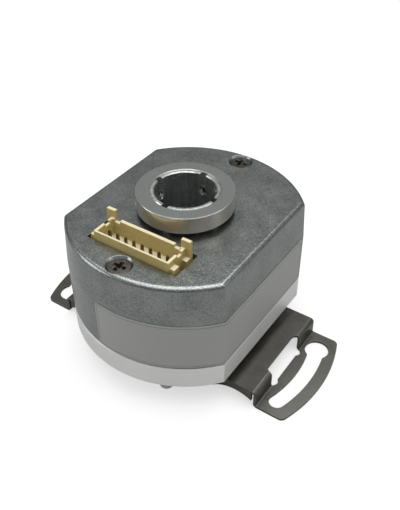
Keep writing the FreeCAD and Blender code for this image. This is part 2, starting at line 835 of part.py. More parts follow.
def make_bearings():
    """Two ball bearings, the spacers between them and the preload washer."""
    pieces = []
    for name, seat in (("lower", lower_seat), ("upper", upper_seat)):
        pieces.append(make_race(f"{name}_outer_race", d.bearing_radius - d.race_thick,
                                d.bearing_radius, seat))
        pieces.append(make_race(f"{name}_inner_race", d.seat_radius,
                                d.seat_radius + d.race_thick, seat))
        pieces.extend(make_ball_set(name, seat))
    inside = d.bearing_radius - d.spacer_ring_thick
    pieces.append(ring("outer_spacer", inside, d.bearing_radius, lower_top,
                       d.bearing_gap - d.washer_height))
    pieces.append(ring("preload_washer", inside, d.bearing_radius, upper_seat - d.washer_height,
                       d.washer_height))
    pieces.append(ring("inner_spacer", d.seat_radius, d.seat_radius + d.spacer_ring_thick,
                       lower_top, d.bearing_gap))
    return pieces


# ---------------------------------------------------------------- code disc
def make_disc_hub():
    """Hub that carries the code disc on the shaft's shoulder."""
    bore = d.finger_radius + d.fit_gap
    return turned("disc_hub", [
        (bore, hub_bottom),
        (d.hub_flange_radius, hub_bottom),
        (d.hub_flange_radius, disc_bottom),
        (d.disc_bore_radius, disc_bottom),
        (d.disc_bore_radius, disc_top),
        (bore, disc_top),
    ])


def make_code_disc():
    """Glass disc that carries the code track."""
    return ring("code_disc", d.disc_bore_radius, disc_radius, disc_bottom, d.disc_thick)


# ---------------------------------------------------------------- light source and sensor
def make_lamp():
    """Light source under the code disc: holder, lamp with a domed lens, and two leads."""
    lens_top = disc_bottom - d.lamp_gap
    holder_top = lens_top - d.lamp_radius
    lamp_bottom = holder_top - d.lamp_height
    holder_far = lead_offset + 2 * d.lead_radius
    low = (-d.holder_width / 2, holder_far - d.holder_depth, floor_top)
    high = (d.holder_width / 2, holder_far, holder_top)
    tools = [cylinder("holder_lamp_seat", d.lamp_radius + d.fit_gap, d.lamp_height + CLEAR,
                      (0, track_radius, lamp_bottom))]
    leads = []
    for side in (-1, 1):
        x = side * d.lead_pitch / 2
        name = "left" if side < 0 else "right"
        tools.append(cylinder(f"holder_{name}_lead_hole", d.lead_radius + d.contact_gap,
                              d.lamp_height + CLEAR, (x, lead_offset, lamp_bottom)))
        leads.append(cylinder(f"{name}_lead", d.lead_radius, board_top - lamp_bottom + d.lead_radius,
                              (x, lead_offset, lamp_bottom)))
    holder = cut("lamp_holder", block("holder_blank", low, high), *tools)
    can = cylinder("lamp_can", d.lamp_radius, d.lamp_height, (0, track_radius, lamp_bottom))
    dome = doc.addObject("Part::Sphere", "lamp_dome")
    bind(dome, "Radius", d.lamp_radius)
    place(dome, (0, track_radius, holder_top))
    return [holder, fuse("infrared_lamp", can, dome), group("lamp_leads", *leads)]


def make_sensor():
    """Photo sensor under the board, over the code track."""
    bottom = board_bottom - d.sensor_height
    half = d.sensor_length / 2
    near = track_radius - d.sensor_depth / 2
    return block("photo_sensor", (-half, near, bottom), (half, near + d.sensor_depth, board_bottom))


# ---------------------------------------------------------------- circuit board
def contact_places():
    """Distances of the contacts from the middle of the connector."""
    return [(index - (CONTACT_COUNT - 1) / 2) * d.contact_pitch for index in range(CONTACT_COUNT)]


def make_board():
    """Circuit board with its shaft hole, screw notches, screw holes and plated slots."""
    blank = prism_with_flats("board_blank", cavity_radius - d.board_gap,
                             cavity_reach - d.board_gap, board_bottom, d.board_thick)
    depth = d.board_thick + 2 * CLEAR
    bottom = board_bottom - CLEAR
    tools = [cylinder("board_shaft_hole", d.finger_radius + d.board_hole_gap, depth, (0, 0, bottom))]
    for side, name in ((-1, "front"), (1, "back")):
        tools.append(cylinder(f"board_{name}_notch", d.cover_boss_radius + d.board_gap, depth,
                              (0, side * cover_screw_offset, bottom)))
        tools.append(cylinder(f"board_{name}_lead_hole", d.lead_radius + d.contact_gap, depth,
                              (side * d.lead_pitch / 2, lead_offset, bottom)))
    for index, (x, y) in enumerate(board_screw_places()):
        tools.append(cylinder(f"board_screw_hole_{index}", d.board_thread_radius + d.assembly_gap,
                              depth, (x, y, bottom)))
    for index, x in enumerate(contact_places()):
        tools.append(contact_block(f"board_contact_hole_{index}", x, bottom, board_top + CLEAR,
                                   d.contact_gap))
    return cut("circuit_board", blank, *tools)


def contact_block(name, x, bottom, top, gap):
    """Upright block at one contact's place, wider than the contact by a gap."""
    front = -header_front + d.front_wall + d.contact_setback
    low = (x - d.contact_width / 2 - gap, front - gap, bottom)
    high = (x + d.contact_width / 2 + gap, front + d.contact_depth + gap, top)
    return block(name, low, high)


def make_standoffs():
    """Four pillars that carry the board on the base."""
    pillars = []
    for index, (x, y) in enumerate(board_screw_places()):
        pillar = cylinder(f"standoff_{index}_pillar", d.standoff_radius, board_bottom - spigot_top,
                          (x, y, spigot_top))
        stud = cylinder(f"standoff_{index}_stud", d.standoff_stud_radius, d.standoff_stud_length + CLEAR,
                        (x, y, spigot_top - d.standoff_stud_length))
        thread = cylinder(f"standoff_{index}_thread", d.board_thread_radius, d.board_screw_bite + CLEAR,
                          (x, y, board_bottom - d.board_screw_bite))
        pillars.append(cut(f"standoff_{index}", fuse(f"standoff_{index}_blank", pillar, stud), thread))
    return group("board_standoffs", *pillars)


def make_board_screws():
    """Four small screws that hold the board on its pillars."""
    screws = []
    for index, (x, y) in enumerate(board_screw_places()):
        head = cylinder(f"board_screw_{index}_head", d.board_head_radius, d.board_head_height,
                        (x, y, board_top))
        shank = cylinder(f"board_screw_{index}_shank", d.board_thread_radius,
                         board_top - board_bottom + d.board_screw_bite + d.board_head_height / 2,
                         (x, y, board_bottom - d.board_screw_bite))
        half = d.board_head_radius + CLEAR
        slot = block(f"board_screw_{index}_slot",
                     (x - half, y - d.recess_width / 2, board_top + d.board_head_height / 2),
                     (x + half, y + d.recess_width / 2, board_top + d.board_head_height + CLEAR))
        screws.append(cut(f"board_screw_{index}", fuse(f"board_screw_{index}_blank", head, shank), slot))
    return group("board_screws", *screws)


def make_board_parts():
    """Two chips and three capacitors on the board."""
    hole_edge = d.finger_radius + d.board_hole_gap
    pieces = []
    for side, name in ((-1, "decoder_chip"), (1, "driver_chip")):
        middle = side * (hole_edge + d.chip_width / 2 + d.board_gap)
        pieces.append(block(name, (middle - d.chip_width / 2, -d.chip_length / 2, board_top),
                            (middle + d.chip_width / 2, d.chip_length / 2, board_top + d.chip_height)))
    capacitors = []
    for index, column in enumerate((-1, 0, 1)):
        x = column * 2 * d.capacitor_length
        y = hole_edge + d.lamp_radius + d.capacitor_width
        capacitors.append(block(
            f"capacitor_{index}",
            (x - d.capacitor_length / 2, y - d.capacitor_width / 2, board_top),
            (x + d.capacitor_length / 2, y + d.capacitor_width / 2, board_top + d.capacitor_height)))
    pieces.append(group("capacitors", *capacitors))
    return pieces


# ---------------------------------------------------------------- connector
def make_header():
    """Open connector shroud with a contact row, two ears and side lugs."""
    half = header_length / 2
    front = -header_front
    back = -header_back
    members = [block("header_block", (-half, front, board_top), (half, back, header_top))]
    lug_top = cover_top + d.lug_rise
    for side, name in ((-1, "left"), (1, "right")):
        inner = half - d.ear_width / 2
        members.append(sided_block(f"header_{name}_ear", side, (inner, inner + d.ear_width),
                                   (back - d.back_wall / 2, back + d.back_wall / 2),
                                   (board_top, cover_top + d.ear_rise)))
        members.append(sided_block(f"header_{name}_front_lug", side,
                                   (half - d.end_wall / 2, half + d.lug_width),
                                   (front + d.cutout_front_gap, front + d.cutout_front_gap + d.lug_depth),
                                   (board_top, lug_top)))
        members.append(sided_block(f"header_{name}_back_lug", side,
                                   (half - d.end_wall / 2, half + d.lug_width),
                                   (back - d.lug_depth, back),
                                   (board_top, lug_top - d.rim_step)))
    solid = fuse("header_blank", *members)
    tools = [block("header_cavity",
                   (-half + d.end_wall, front + d.front_wall, board_top + d.header_floor),
                   (half - d.end_wall, back - d.back_wall, header_top + CLEAR))]
    for side, name in ((-1, "left"), (1, "right")):
        step_end = half - d.ear_width / 2
        tools.append(sided_block(f"header_{name}_back_step", side,
                                 (step_end - d.rim_step_length, step_end),
                                 (back - d.back_wall - CLEAR / 2, back + CLEAR),
                                 (header_top - d.rim_step, header_top + CLEAR)))
        middle = (front + back) / 2
        tools.append(sided_block(f"header_{name}_end_step", side,
                                 (half - d.end_wall - CLEAR / 2, half + CLEAR),
                                 (middle, middle + d.rim_step_length),
                                 (header_top - d.rim_step, header_top + CLEAR)))
    for index, x in enumerate(contact_places()):
        tools.append(contact_block(f"header_contact_hole_{index}", x, board_top - CLEAR, header_top + CLEAR,
                                   d.contact_gap))
    return cut("connector_header", solid, *tools)


def sided_block(name, side, x_range, y_range, z_range):
    """Box given for the +X side, or its mirror image on the -X side."""
    near, far = x_range if side > 0 else (-x_range[1], -x_range[0])
    return block(name, (near, y_range[0], z_range[0]), (far, y_range[1], z_range[1]))


def make_contacts():
    """Row of flat contacts, soldered through the board."""
    bottom = board_bottom - d.contact_tail
    top = header_top - d.contact_recess
    blades = [contact_block(f"contact_{index}", x, bottom, top, as_size(0))
              for index, x in enumerate(contact_places())]
    return group("connector_contacts", *blades)


# ---------------------------------------------------------------- flexible bracket
def make_bracket_strip():
    """Bent strip: plate, two end walls and two feet, with rounded bends."""
    body = doc.addObject("PartDesign::Body", "bracket_strip")
    sketch = new_sketch(body, "bracket_section", "XZ_Plane", -d.bracket_half_width)
    end = d.foot_radius + CLEAR
    wall = d.bracket_wall_reach
    thick = d.sheet_thick
    right_half = [(foot_inner, d.plate_lift), (foot_inner, 0), (end, 0), (end, thick),
                  (wall, thick), (wall, plate_top)]
    left_half = [(-x, z) for x, z in reversed(right_half)]
    polygon(sketch, right_half + left_half)
    strip = pad(body, sketch, 2 * d.bracket_half_width)
    inner_bends = [(wall.value, thick.value), (foot_inner.value, d.plate_lift.value)]
    outer_bends = [(foot_inner.value, 0.0), (wall.value, plate_top.value)]
    for radius, bends in ((d.bend_radius, inner_bends), (d.bend_radius + thick, outer_bends)):
        strip = round_edges(body, strip, radius, lambda edge, bends=bends: is_bend(edge, bends))
    return body


def is_bend(edge, bends):
    """True for an edge along Y that lies on one of the bends, on either side."""
    box = edge.BoundBox
    if box.YLength < 1 or box.XLength > 1e-6 or box.ZLength > 1e-6:
        return False
    return any(abs(abs(box.XMin) - x) < 1e-4 and abs(box.ZMin - z) < 1e-4 for x, z in bends)


def make_bracket():
    """Flexible sheet bracket with arc slots in its feet, side flanges and two fixing ears."""
    strip = make_bracket_strip()
    members = [strip]
    tools = [cylinder("bracket_hole", d.plate_hole_radius, d.sheet_thick + 2 * CLEAR,
                      (0, 0, d.plate_lift - CLEAR))]
    for side, name in ((1, "right"), (-1, "left")):
        members.extend(bracket_flanges(name, side))
        members.append(bracket_ear(name, side))
        tools.extend(bracket_slot(name, side))
        tools.extend(bracket_window(name, side))
        tools.append(cylinder(f"bracket_{name}_ear_hole", d.bracket_screw_radius + d.bracket_hole_gap,
                              d.sheet_thick + 2 * CLEAR,
                              (side * ear_x, side * ear_y, d.plate_lift - CLEAR)))
    solid = cut("bracket_cut", fuse("bracket_blank", *members), *tools)
    round_feet = cylinder("bracket_outline", d.foot_radius, plate_top + 2 * CLEAR, (0, 0, -CLEAR))
    return round_foot_corners(common("bracket_round_feet", solid, round_feet))


def round_foot_corners(solid):
    """Round the four outer corners of the feet."""
    doc.recompute()
    corner_x = math.sqrt(d.foot_radius.value ** 2 - d.bracket_half_width.value ** 2)
    fillet = doc.addObject("Part::Fillet", "flex_bracket")
    fillet.Base = solid
    radius = d.foot_corner.value
    fillet.Edges = [(number, radius, radius) for number, edge in enumerate(solid.Shape.Edges, start=1)
                    if abs(abs(edge.BoundBox.XMin) - corner_x) < 1e-3 and edge.BoundBox.XLength < 1e-6
                    and edge.BoundBox.YLength < 1e-6]
    return fillet


def bracket_flanges(name, side):
    """Two side flanges of one end, each with an arched lower edge."""
    flanges = []
    end = foot_inner - d.flange_relief
    arch_centre = d.arch_height - d.arch_radius
    for edge_side, edge_name in ((-1, "front"), (1, "back")):
        outer = d.bracket_half_width
        y_range = (outer - d.sheet_thick, outer) if edge_side > 0 else (-outer, -outer + d.sheet_thick)
        flange = sided_block(f"bracket_{name}_{edge_name}_flange_blank", side,
                             (d.flange_start, end), y_range, (d.flange_clearance, plate_top))
        arch = doc.addObject("Part::Cylinder", f"bracket_{name}_{edge_name}_arch")
        bind(arch, "Radius", d.arch_radius)
        bind(arch, "Height", 2 * d.bracket_half_width)
        arch.Placement.Rotation = FreeCAD.Rotation(FreeCAD.Vector(1, 0, 0), 90)
        place(arch, (side * d.arch_reach, d.bracket_half_width, arch_centre))
        flanges.append(cut(f"bracket_{name}_{edge_name}_flange", flange, arch))
    return flanges


def bracket_ear(name, side):
    """Arm from the plate to the fixing screw under the body's rim."""
    arm = block(f"bracket_{name}_arm", (d.plate_hole_radius + d.ear_radius, -d.ear_radius, d.plate_lift),
                (ear_circle, d.ear_radius, plate_top))
    end = cylinder(f"bracket_{name}_arm_end", d.ear_radius, d.sheet_thick,
                   (ear_circle, 0, d.plate_lift))
    turn = d.ear_angle.value + (0 if side > 0 else 180)
    return turned_about(f"bracket_{name}_ear", fuse(f"bracket_{name}_ear", arm, end), turn)


def bracket_window(name, side):
    """Cutting tools of the window in one end wall, with round corners towards the plate."""
    start = d.bracket_wall_reach - d.window_depth
    end = d.bracket_wall_reach + d.bend_radius
    half = d.window_half_width
    corner = d.window_corner
    height = (-CLEAR, plate_top + CLEAR)
    tools = [sided_block(f"bracket_{name}_window", side, (start + corner, end), (-half, half), height),
             sided_block(f"bracket_{name}_window_end", side, (start, end),
                         (-half + corner, half - corner), height)]
    for corner_side, corner_name in ((-1, "front"), (1, "back")):
        tools.append(cylinder(f"bracket_{name}_window_{corner_name}", corner, plate_top + 2 * CLEAR,
                              (side * (start + corner), corner_side * (half - corner), -CLEAR)))
    return tools


def bracket_slot(name, side):
    """Cutting tools of one arc slot: the arc, its plain end and its keyhole."""
    height = d.sheet_thick + 2 * CLEAR
    bottom = as_size(-CLEAR)
    turn = as_size(0 if side > 0 else 180)
    inner = d.mount_circle_radius - d.slot_radius
    outer = d.mount_circle_radius + d.slot_radius
    sweep = d.keyhole_angle - d.slot_end_angle
    wide = sector(f"bracket_{name}_slot_outside", outer, height, sweep, turn + d.slot_end_angle + 360,
                  bottom)
    narrow = cylinder(f"bracket_{name}_slot_inside", inner, height, (0, 0, bottom))
    tools = [cut(f"bracket_{name}_slot", wide, narrow)]
    for label, angle, radius in (("end", d.slot_end_angle, d.slot_radius),
                                 ("keyhole", d.keyhole_angle, d.keyhole_radius)):
        x = side * d.mount_circle_radius * cosine(angle)
        y = side * d.mount_circle_radius * sine(angle)
        tools.append(cylinder(f"bracket_{name}_slot_{label}", radius, height, (x, y, bottom)))
    return tools


def make_bracket_fixings():
    """Spacers and screws that fasten the bracket's ears under the base."""
    spacers = []
    screws = []
    for side, name in ((1, "right"), (-1, "left")):
        x, y = side * ear_x, side * ear_y
        post = cylinder(f"{name}_spacer_post", d.spacer_radius, d.spacer_height, (x, y, plate_top))
        hole = cylinder(f"{name}_spacer_hole", d.bracket_screw_radius + d.bracket_hole_gap,
                        d.spacer_height + 2 * CLEAR, (x, y, plate_top - CLEAR))
        spacers.append(cut(f"{name}_spacer", post, hole))
        head_bottom = d.plate_lift - d.bracket_head_height
        head = cylinder(f"{name}_bracket_screw_head", d.bracket_head_radius, d.bracket_head_height,
                        (x, y, head_bottom))
        shank = cylinder(f"{name}_bracket_screw_shank", d.bracket_screw_radius,
                         base_bottom + d.bracket_screw_bite - d.plate_lift + CLEAR,
                         (x, y, d.plate_lift - CLEAR))
        socket = cylinder(f"{name}_bracket_screw_socket", d.bracket_head_radius / 2,
                          d.bracket_head_height / 2 + CLEAR, (x, y, head_bottom - CLEAR))
        screws.append(cut(f"{name}_bracket_screw",
                          fuse(f"{name}_bracket_screw_blank", head, shank), socket))
    return [group("bracket_spacers", *spacers), group("bracket_screws", *screws)]


# ---------------------------------------------------------------- whole part
def make_all():
    """Every sub-part, each with the label that names its file."""
    pieces = [make_base(), make_gasket(), make_cover(), make_cover_screws(), make_label()]
    pieces += [make_shaft(), make_collar(), make_set_screws(), make_retaining_ring()]
    pieces += make_bearings()
    pieces += [make_disc_hub(), make_code_disc()]
    pieces += make_lamp()
    pieces += [make_sensor(), make_board(), make_standoffs(), make_board_screws()]
    pieces += make_board_parts()
    pieces += [make_header(), make_contacts(), make_bracket()]
    pieces += make_bracket_fixings()
    return pieces


def check_document():
    """Stop if any object failed, or if a pocket removed nothing."""
    doc.recompute()
    for item in doc.Objects:
        if "Invalid" in item.State or "Error" in item.State:
            raise RuntimeError(f"{item.Label} failed: {item.State}")
        if item.TypeId == "PartDesign::Pocket":
            if item.Shape.Volume > item.BaseFeature.Shape.Volume - 1e-6:
                raise RuntimeError(f"{item.Label} cuts nothing")


def write_pieces(pieces):
    """Check each sub-part's shape and write it to its own file."""
    for piece in pieces:
        if piece.Shape.isNull() or not piece.Shape.isValid() or not piece.Shape.Solids:
            raise RuntimeError(f"{piece.Label} has no valid shape")
    os.makedirs("parts", exist_ok=True)
    for piece in pieces:
        piece.Shape.exportStep(f"parts/{piece.Label}.step")
        print(f"{piece.Label}: {len(piece.Shape.Solids)} solids, {piece.Shape.Volume:.2f} mm3")


PIECES = make_all()
check_document()
write_pieces(PIECES)
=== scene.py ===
"""Looks of a hollow-shaft rotary encoder on a flexible sheet bracket.

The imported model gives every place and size. Pieces whose edges or curves need to be finer than the
model's are made again here, and every visible surface gets a finish built from shader nodes.
"""
from __future__ import annotations

import json
import logging
import math
from dataclasses import dataclass, field
from enum import Enum

import bmesh
import bpy
import numpy as np
from mathutils import Matrix, Vector


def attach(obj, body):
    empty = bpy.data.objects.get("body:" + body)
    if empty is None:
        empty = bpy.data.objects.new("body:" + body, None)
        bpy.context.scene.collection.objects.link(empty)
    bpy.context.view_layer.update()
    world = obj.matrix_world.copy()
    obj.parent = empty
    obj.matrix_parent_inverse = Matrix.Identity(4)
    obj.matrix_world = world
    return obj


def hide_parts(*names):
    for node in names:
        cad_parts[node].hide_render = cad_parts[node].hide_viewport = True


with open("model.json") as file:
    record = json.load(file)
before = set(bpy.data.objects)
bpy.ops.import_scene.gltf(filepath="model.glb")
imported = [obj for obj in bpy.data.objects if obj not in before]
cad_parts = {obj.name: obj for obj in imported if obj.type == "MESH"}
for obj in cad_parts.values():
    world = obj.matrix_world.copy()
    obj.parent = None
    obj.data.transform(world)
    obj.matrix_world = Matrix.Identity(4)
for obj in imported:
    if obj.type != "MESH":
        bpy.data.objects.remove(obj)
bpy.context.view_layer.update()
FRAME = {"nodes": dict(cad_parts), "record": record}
MM = 0.001
Colour = tuple[float, float, float]
Array = np.ndarray
log = logging.getLogger("encoder")


# ---------------------------------------------------------------- shader node helpers
class NodeSheet:
    """Short hand for building one node tree."""

    def __init__(self, tree: bpy.types.NodeTree) -> None:
        """Keep the tree that nodes are added to."""
        self.tree = tree

    def add(self, kind: str, inputs: dict | None = None, **settings: object) -> bpy.types.Node:
        """Add a node.

        Args:
            kind: Blender's identifier of the node type.
            inputs: values or output sockets by input name or index.
            settings: properties set on the node itself.

        Returns:
            The new node.
        """
        node = self.tree.nodes.new(kind)
        for name, value in settings.items():
            setattr(node, name, value)
        for name, value in (inputs or {}).items():
            if isinstance(value, bpy.types.NodeSocket):
                self.tree.links.new(value, node.inputs[name])
            else:
                node.inputs[name].default_value = value
        return node

    def math(self, operation: str, *values: object) -> bpy.types.NodeSocket:
        """Result of a Math node on up to three values or sockets."""
        node = self.add("ShaderNodeMath", dict(enumerate(values)), operation=operation)
        return node.outputs[0]

    def blend(self, factor: object, first: object, second: object) -> bpy.types.NodeSocket:
        """Colour that runs from the first to the second as the factor runs from 0 to 1."""
        node = self.add("ShaderNodeMix", {0: factor, 6: first, 7: second}, data_type="RGBA")
        return node.outputs[2]

    def spread(self, value: object, low: float, high: float,
               new_low: object = 0.0, new_high: object = 1.0) -> bpy.types.NodeSocket:
        """Clamped change of range."""
        node = self.add("ShaderNodeMapRange", {0: value, 1: low, 2: high, 3: new_low, 4: new_high})
        return node.outputs[0]


def opaque(colour: Colour) -> tuple[float, float, float, float]:
    """Colour with full alpha."""
    return (*colour, 1.0)


class ShaderGroups:
    """Node groups that the finishes share, each built once."""

    def __init__(self) -> None:
        """Build the groups."""
        self.place = self._place()
        self.grain = self._grain()
        self.turning = self._turning()
        self.rolling = self._rolling()
        self.edge_wear_and_highlight = self._edge_wear_and_highlight()
        self.rounds = self._rounds()
        self.upper = self._painted_top()
        self.streaks = self._painted_streaks()
        self.frame_line = self._frame_line()

    @staticmethod
    def _open(name: str, inputs: dict[str, str], outputs: dict[str, str]) -> tuple:
        """Start a group.

        Args:
            name: name of the group.
            inputs: socket type by input name.
            outputs: socket type by output name.

        Returns:
            The group, its node sheet, its input node and its output node.
        """
        group = bpy.data.node_groups.new(name, "ShaderNodeTree")
        for label, kind in inputs.items():
            group.interface.new_socket(label, in_out="INPUT", socket_type=kind)
        for label, kind in outputs.items():
            group.interface.new_socket(label, in_out="OUTPUT", socket_type=kind)
        sheet = NodeSheet(group)
        return group, sheet, sheet.add("NodeGroupInput"), sheet.add("NodeGroupOutput")

    def _place(self) -> bpy.types.NodeTree:
        """Object coordinates in millimetres.

        Returns:
            The node group.
        """
        group, sheet, _, out = self._open("place_mm", {}, {"Vector": "NodeSocketVector"})
        coordinates = sheet.add("ShaderNodeTexCoord")
        scaled = sheet.add("ShaderNodeVectorMath", {0: coordinates.outputs["Object"], 3: 1 / MM},
                           operation="SCALE")
        group.links.new(scaled.outputs[0], out.inputs["Vector"])
        return group

    def _noise(self, sheet: NodeSheet, vector: object, detail: float,
               roughness: float) -> bpy.types.NodeSocket:
        """Fractal noise of unit scale.

        Args:
            sheet: sheet that the node is added to.
            vector: socket of the place, already scaled.
            detail: number of finer layers.
            roughness: share that each finer layer keeps.

        Returns:
            Socket of the noise, from 0 to 1.
        """
        node = sheet.add("ShaderNodeTexNoise", {"Vector": vector, "Scale": 1.0, "Detail": detail,
                                                "Roughness": roughness})
        return node.outputs["Fac"]

    def _grain(self) -> bpy.types.NodeTree:
        """Random mottling: a fine grain over slow clouds.

        Returns:
            The node group.
        """
        group, sheet, source, out = self._open(
            "grain", {"Vector": "NodeSocketVector", "Grain size": "NodeSocketFloat",
                      "Cloud size": "NodeSocketFloat"},
            {"Grain": "NodeSocketFloat", "Clouds": "NodeSocketFloat"})
        for label, target, detail in (("Grain size", "Grain", 2.0), ("Cloud size", "Clouds", 3.0)):
            rate = sheet.math("DIVIDE", 1.0, source.outputs[label])
            scaled = sheet.add("ShaderNodeVectorMath", {0: source.outputs["Vector"], 3: rate},
                               operation="SCALE")
            raw = self._noise(sheet, scaled.outputs[0], detail, 0.62)
            group.links.new(sheet.spread(raw, 0.32, 0.68), out.inputs[target])
        return group

    def _turning(self) -> bpy.types.NodeTree:
        """Lathe marks: noise that depends only on the radius and the height.

        Returns:
            The node group.
        """
        group, sheet, source, out = self._open(
            "turning", {"Vector": "NodeSocketVector", "Pitch": "NodeSocketFloat"},
            {"Marks": "NodeSocketFloat"})
        split = sheet.add("ShaderNodeSeparateXYZ", {0: source.outputs["Vector"]})
        across = sheet.math("MULTIPLY", split.outputs[0], split.outputs[0])
        deep = sheet.math("MULTIPLY", split.outputs[1], split.outputs[1])
        radius = sheet.math("SQRT", sheet.math("ADD", across, deep))
        joined = sheet.add("ShaderNodeCombineXYZ", {0: radius, 1: split.outputs[2]})
        rate = sheet.math("DIVIDE", 1.0, source.outputs["Pitch"])
        scaled = sheet.add("ShaderNodeVectorMath", {0: joined.outputs[0], 3: rate}, operation="SCALE")
        raw = self._noise(sheet, scaled.outputs[0], 2.0, 0.6)
        group.links.new(sheet.spread(raw, 0.3, 0.7), out.inputs["Marks"])
        return group

    def _rolling(self) -> bpy.types.NodeTree:
        """Rolling marks: noise drawn out along X.

        Returns:
            The node group.
        """
        group, sheet, source, out = self._open(
            "rolling", {"Vector": "NodeSocketVector", "Width": "NodeSocketFloat"},
            {"Marks": "NodeSocketFloat"})
        stretch = sheet.add("ShaderNodeVectorMath", {0: source.outputs["Vector"], 1: (0.08, 1.0, 1.0)},
                            operation="MULTIPLY")
        rate = sheet.math("DIVIDE", 1.0, source.outputs["Width"])
        scaled = sheet.add("ShaderNodeVectorMath", {0: stretch.outputs[0], 3: rate}, operation="SCALE")
        raw = self._noise(sheet, scaled.outputs[0], 3.0, 0.6)
        group.links.new(sheet.spread(raw, 0.3, 0.7), out.inputs["Marks"])
        return group

    def _edge_wear_and_highlight(self) -> bpy.types.NodeTree:
        """Edges: where a rounded normal leaves the true one. Its mask carries an edge colour that is worn
        metal on some finishes and a painted highlight on others.

        Returns:
            The node group.
        """
        group, sheet, source, out = self._open(
            "edge_wear_and_painted_highlight", {"Radius": "NodeSocketFloat"},
            {"Mask": "NodeSocketFloat", "Normal": "NodeSocketVector"})
        rounded = sheet.add("ShaderNodeBevel", {"Radius": source.outputs["Radius"]}, samples=6)
        true = sheet.add("ShaderNodeNewGeometry")
        match = sheet.add("ShaderNodeVectorMath", {0: rounded.outputs[0], 1: true.outputs["Normal"]},
                          operation="DOT_PRODUCT")
        group.links.new(sheet.spread(match.outputs["Value"], 0.99, 0.85), out.inputs["Mask"])
        group.links.new(rounded.outputs[0], out.inputs["Normal"])
        return group

    def _rounds(self) -> bpy.types.NodeTree:
        """Rounded upper edges: where the surface faces neither up nor sideways.

        Returns:
            The node group.
        """
        group, sheet, _, out = self._open("upper_rounds", {}, {"Mask": "NodeSocketFloat"})
        geometry = sheet.add("ShaderNodeNewGeometry")
        split = sheet.add("ShaderNodeSeparateXYZ", {0: geometry.outputs["Normal"]})
        upright = sheet.spread(split.outputs[2], 0.12, 0.4)
        level = sheet.spread(split.outputs[2], 0.9995, 0.985)
        group.links.new(sheet.math("MULTIPLY", upright, level), out.inputs["Mask"])
        return group

    def _painted_top(self) -> bpy.types.NodeTree:
        """Faces that look upwards, for a colour painted on them by how the top is lit: painted shade on the
        collar's top, painted light on the header's upward faces.

        Returns:
            The node group.
        """
        group, sheet, _, out = self._open("painted_top_faces", {}, {"Mask": "NodeSocketFloat"})
        geometry = sheet.add("ShaderNodeNewGeometry")
        split = sheet.add("ShaderNodeSeparateXYZ", {0: geometry.outputs["Normal"]})
        group.links.new(sheet.spread(split.outputs[2], 0.6, 0.95), out.inputs["Mask"])
        return group

    def _painted_streaks(self) -> bpy.types.NodeTree:
        """Upright streaks round a turned piece, painted reflections in its colour: noise that depends only
        on the angle.

        Returns:
            The node group.
        """
        group, sheet, source, out = self._open(
            "streaks", {"Vector": "NodeSocketVector", "Rate": "NodeSocketFloat"},
            {"Mask": "NodeSocketFloat"})
        level = sheet.add("ShaderNodeVectorMath", {0: source.outputs["Vector"], 1: (1.0, 1.0, 0.0)},
                          operation="MULTIPLY")
        ring = sheet.add("ShaderNodeVectorMath", {0: level.outputs[0]}, operation="NORMALIZE")
        scaled = sheet.add("ShaderNodeVectorMath", {0: ring.outputs[0], 3: source.outputs["Rate"]},
                           operation="SCALE")
        raw = self._noise(sheet, scaled.outputs[0], 3.0, 0.6)
        group.links.new(sheet.spread(raw, 0.42, 0.6), out.inputs["Mask"])
        return group

    def _frame_line(self) -> bpy.types.NodeTree:
        """Printed line at an even distance inside the border of a sheet.

        Returns:
            The node group.
        """
        group, sheet, source, out = self._open(
            "frame_line", {"Vector": "NodeSocketVector", "Length": "NodeSocketFloat",
                           "Height": "NodeSocketFloat", "Inset": "NodeSocketFloat",
                           "Width": "NodeSocketFloat"}, {"Mask": "NodeSocketFloat"})
        split = sheet.add("ShaderNodeSeparateXYZ", {0: source.outputs["Vector"]})
        nearest = sheet.math("MINIMUM", split.outputs[0],
                             sheet.math("SUBTRACT", source.outputs["Length"], split.outputs[0]))
        lower = sheet.math("MINIMUM", split.outputs[1],
                           sheet.math("SUBTRACT", source.outputs["Height"], split.outputs[1]))
        away = sheet.math("ABSOLUTE", sheet.math(
            "SUBTRACT", sheet.math("MINIMUM", nearest, lower), source.outputs["Inset"]))
        inside = sheet.math("LESS_THAN", away, sheet.math("MULTIPLY", source.outputs["Width"], 0.5))
        group.links.new(inside, out.inputs["Mask"])
        return group


# ---------------------------------------------------------------- finishes
class Texture(Enum):
    """How a surface was made, which sets its fine marks."""

    CAST = "cast"
    TURNED = "turned"
    ROLLED = "rolled"
    MOULDED = "moulded"


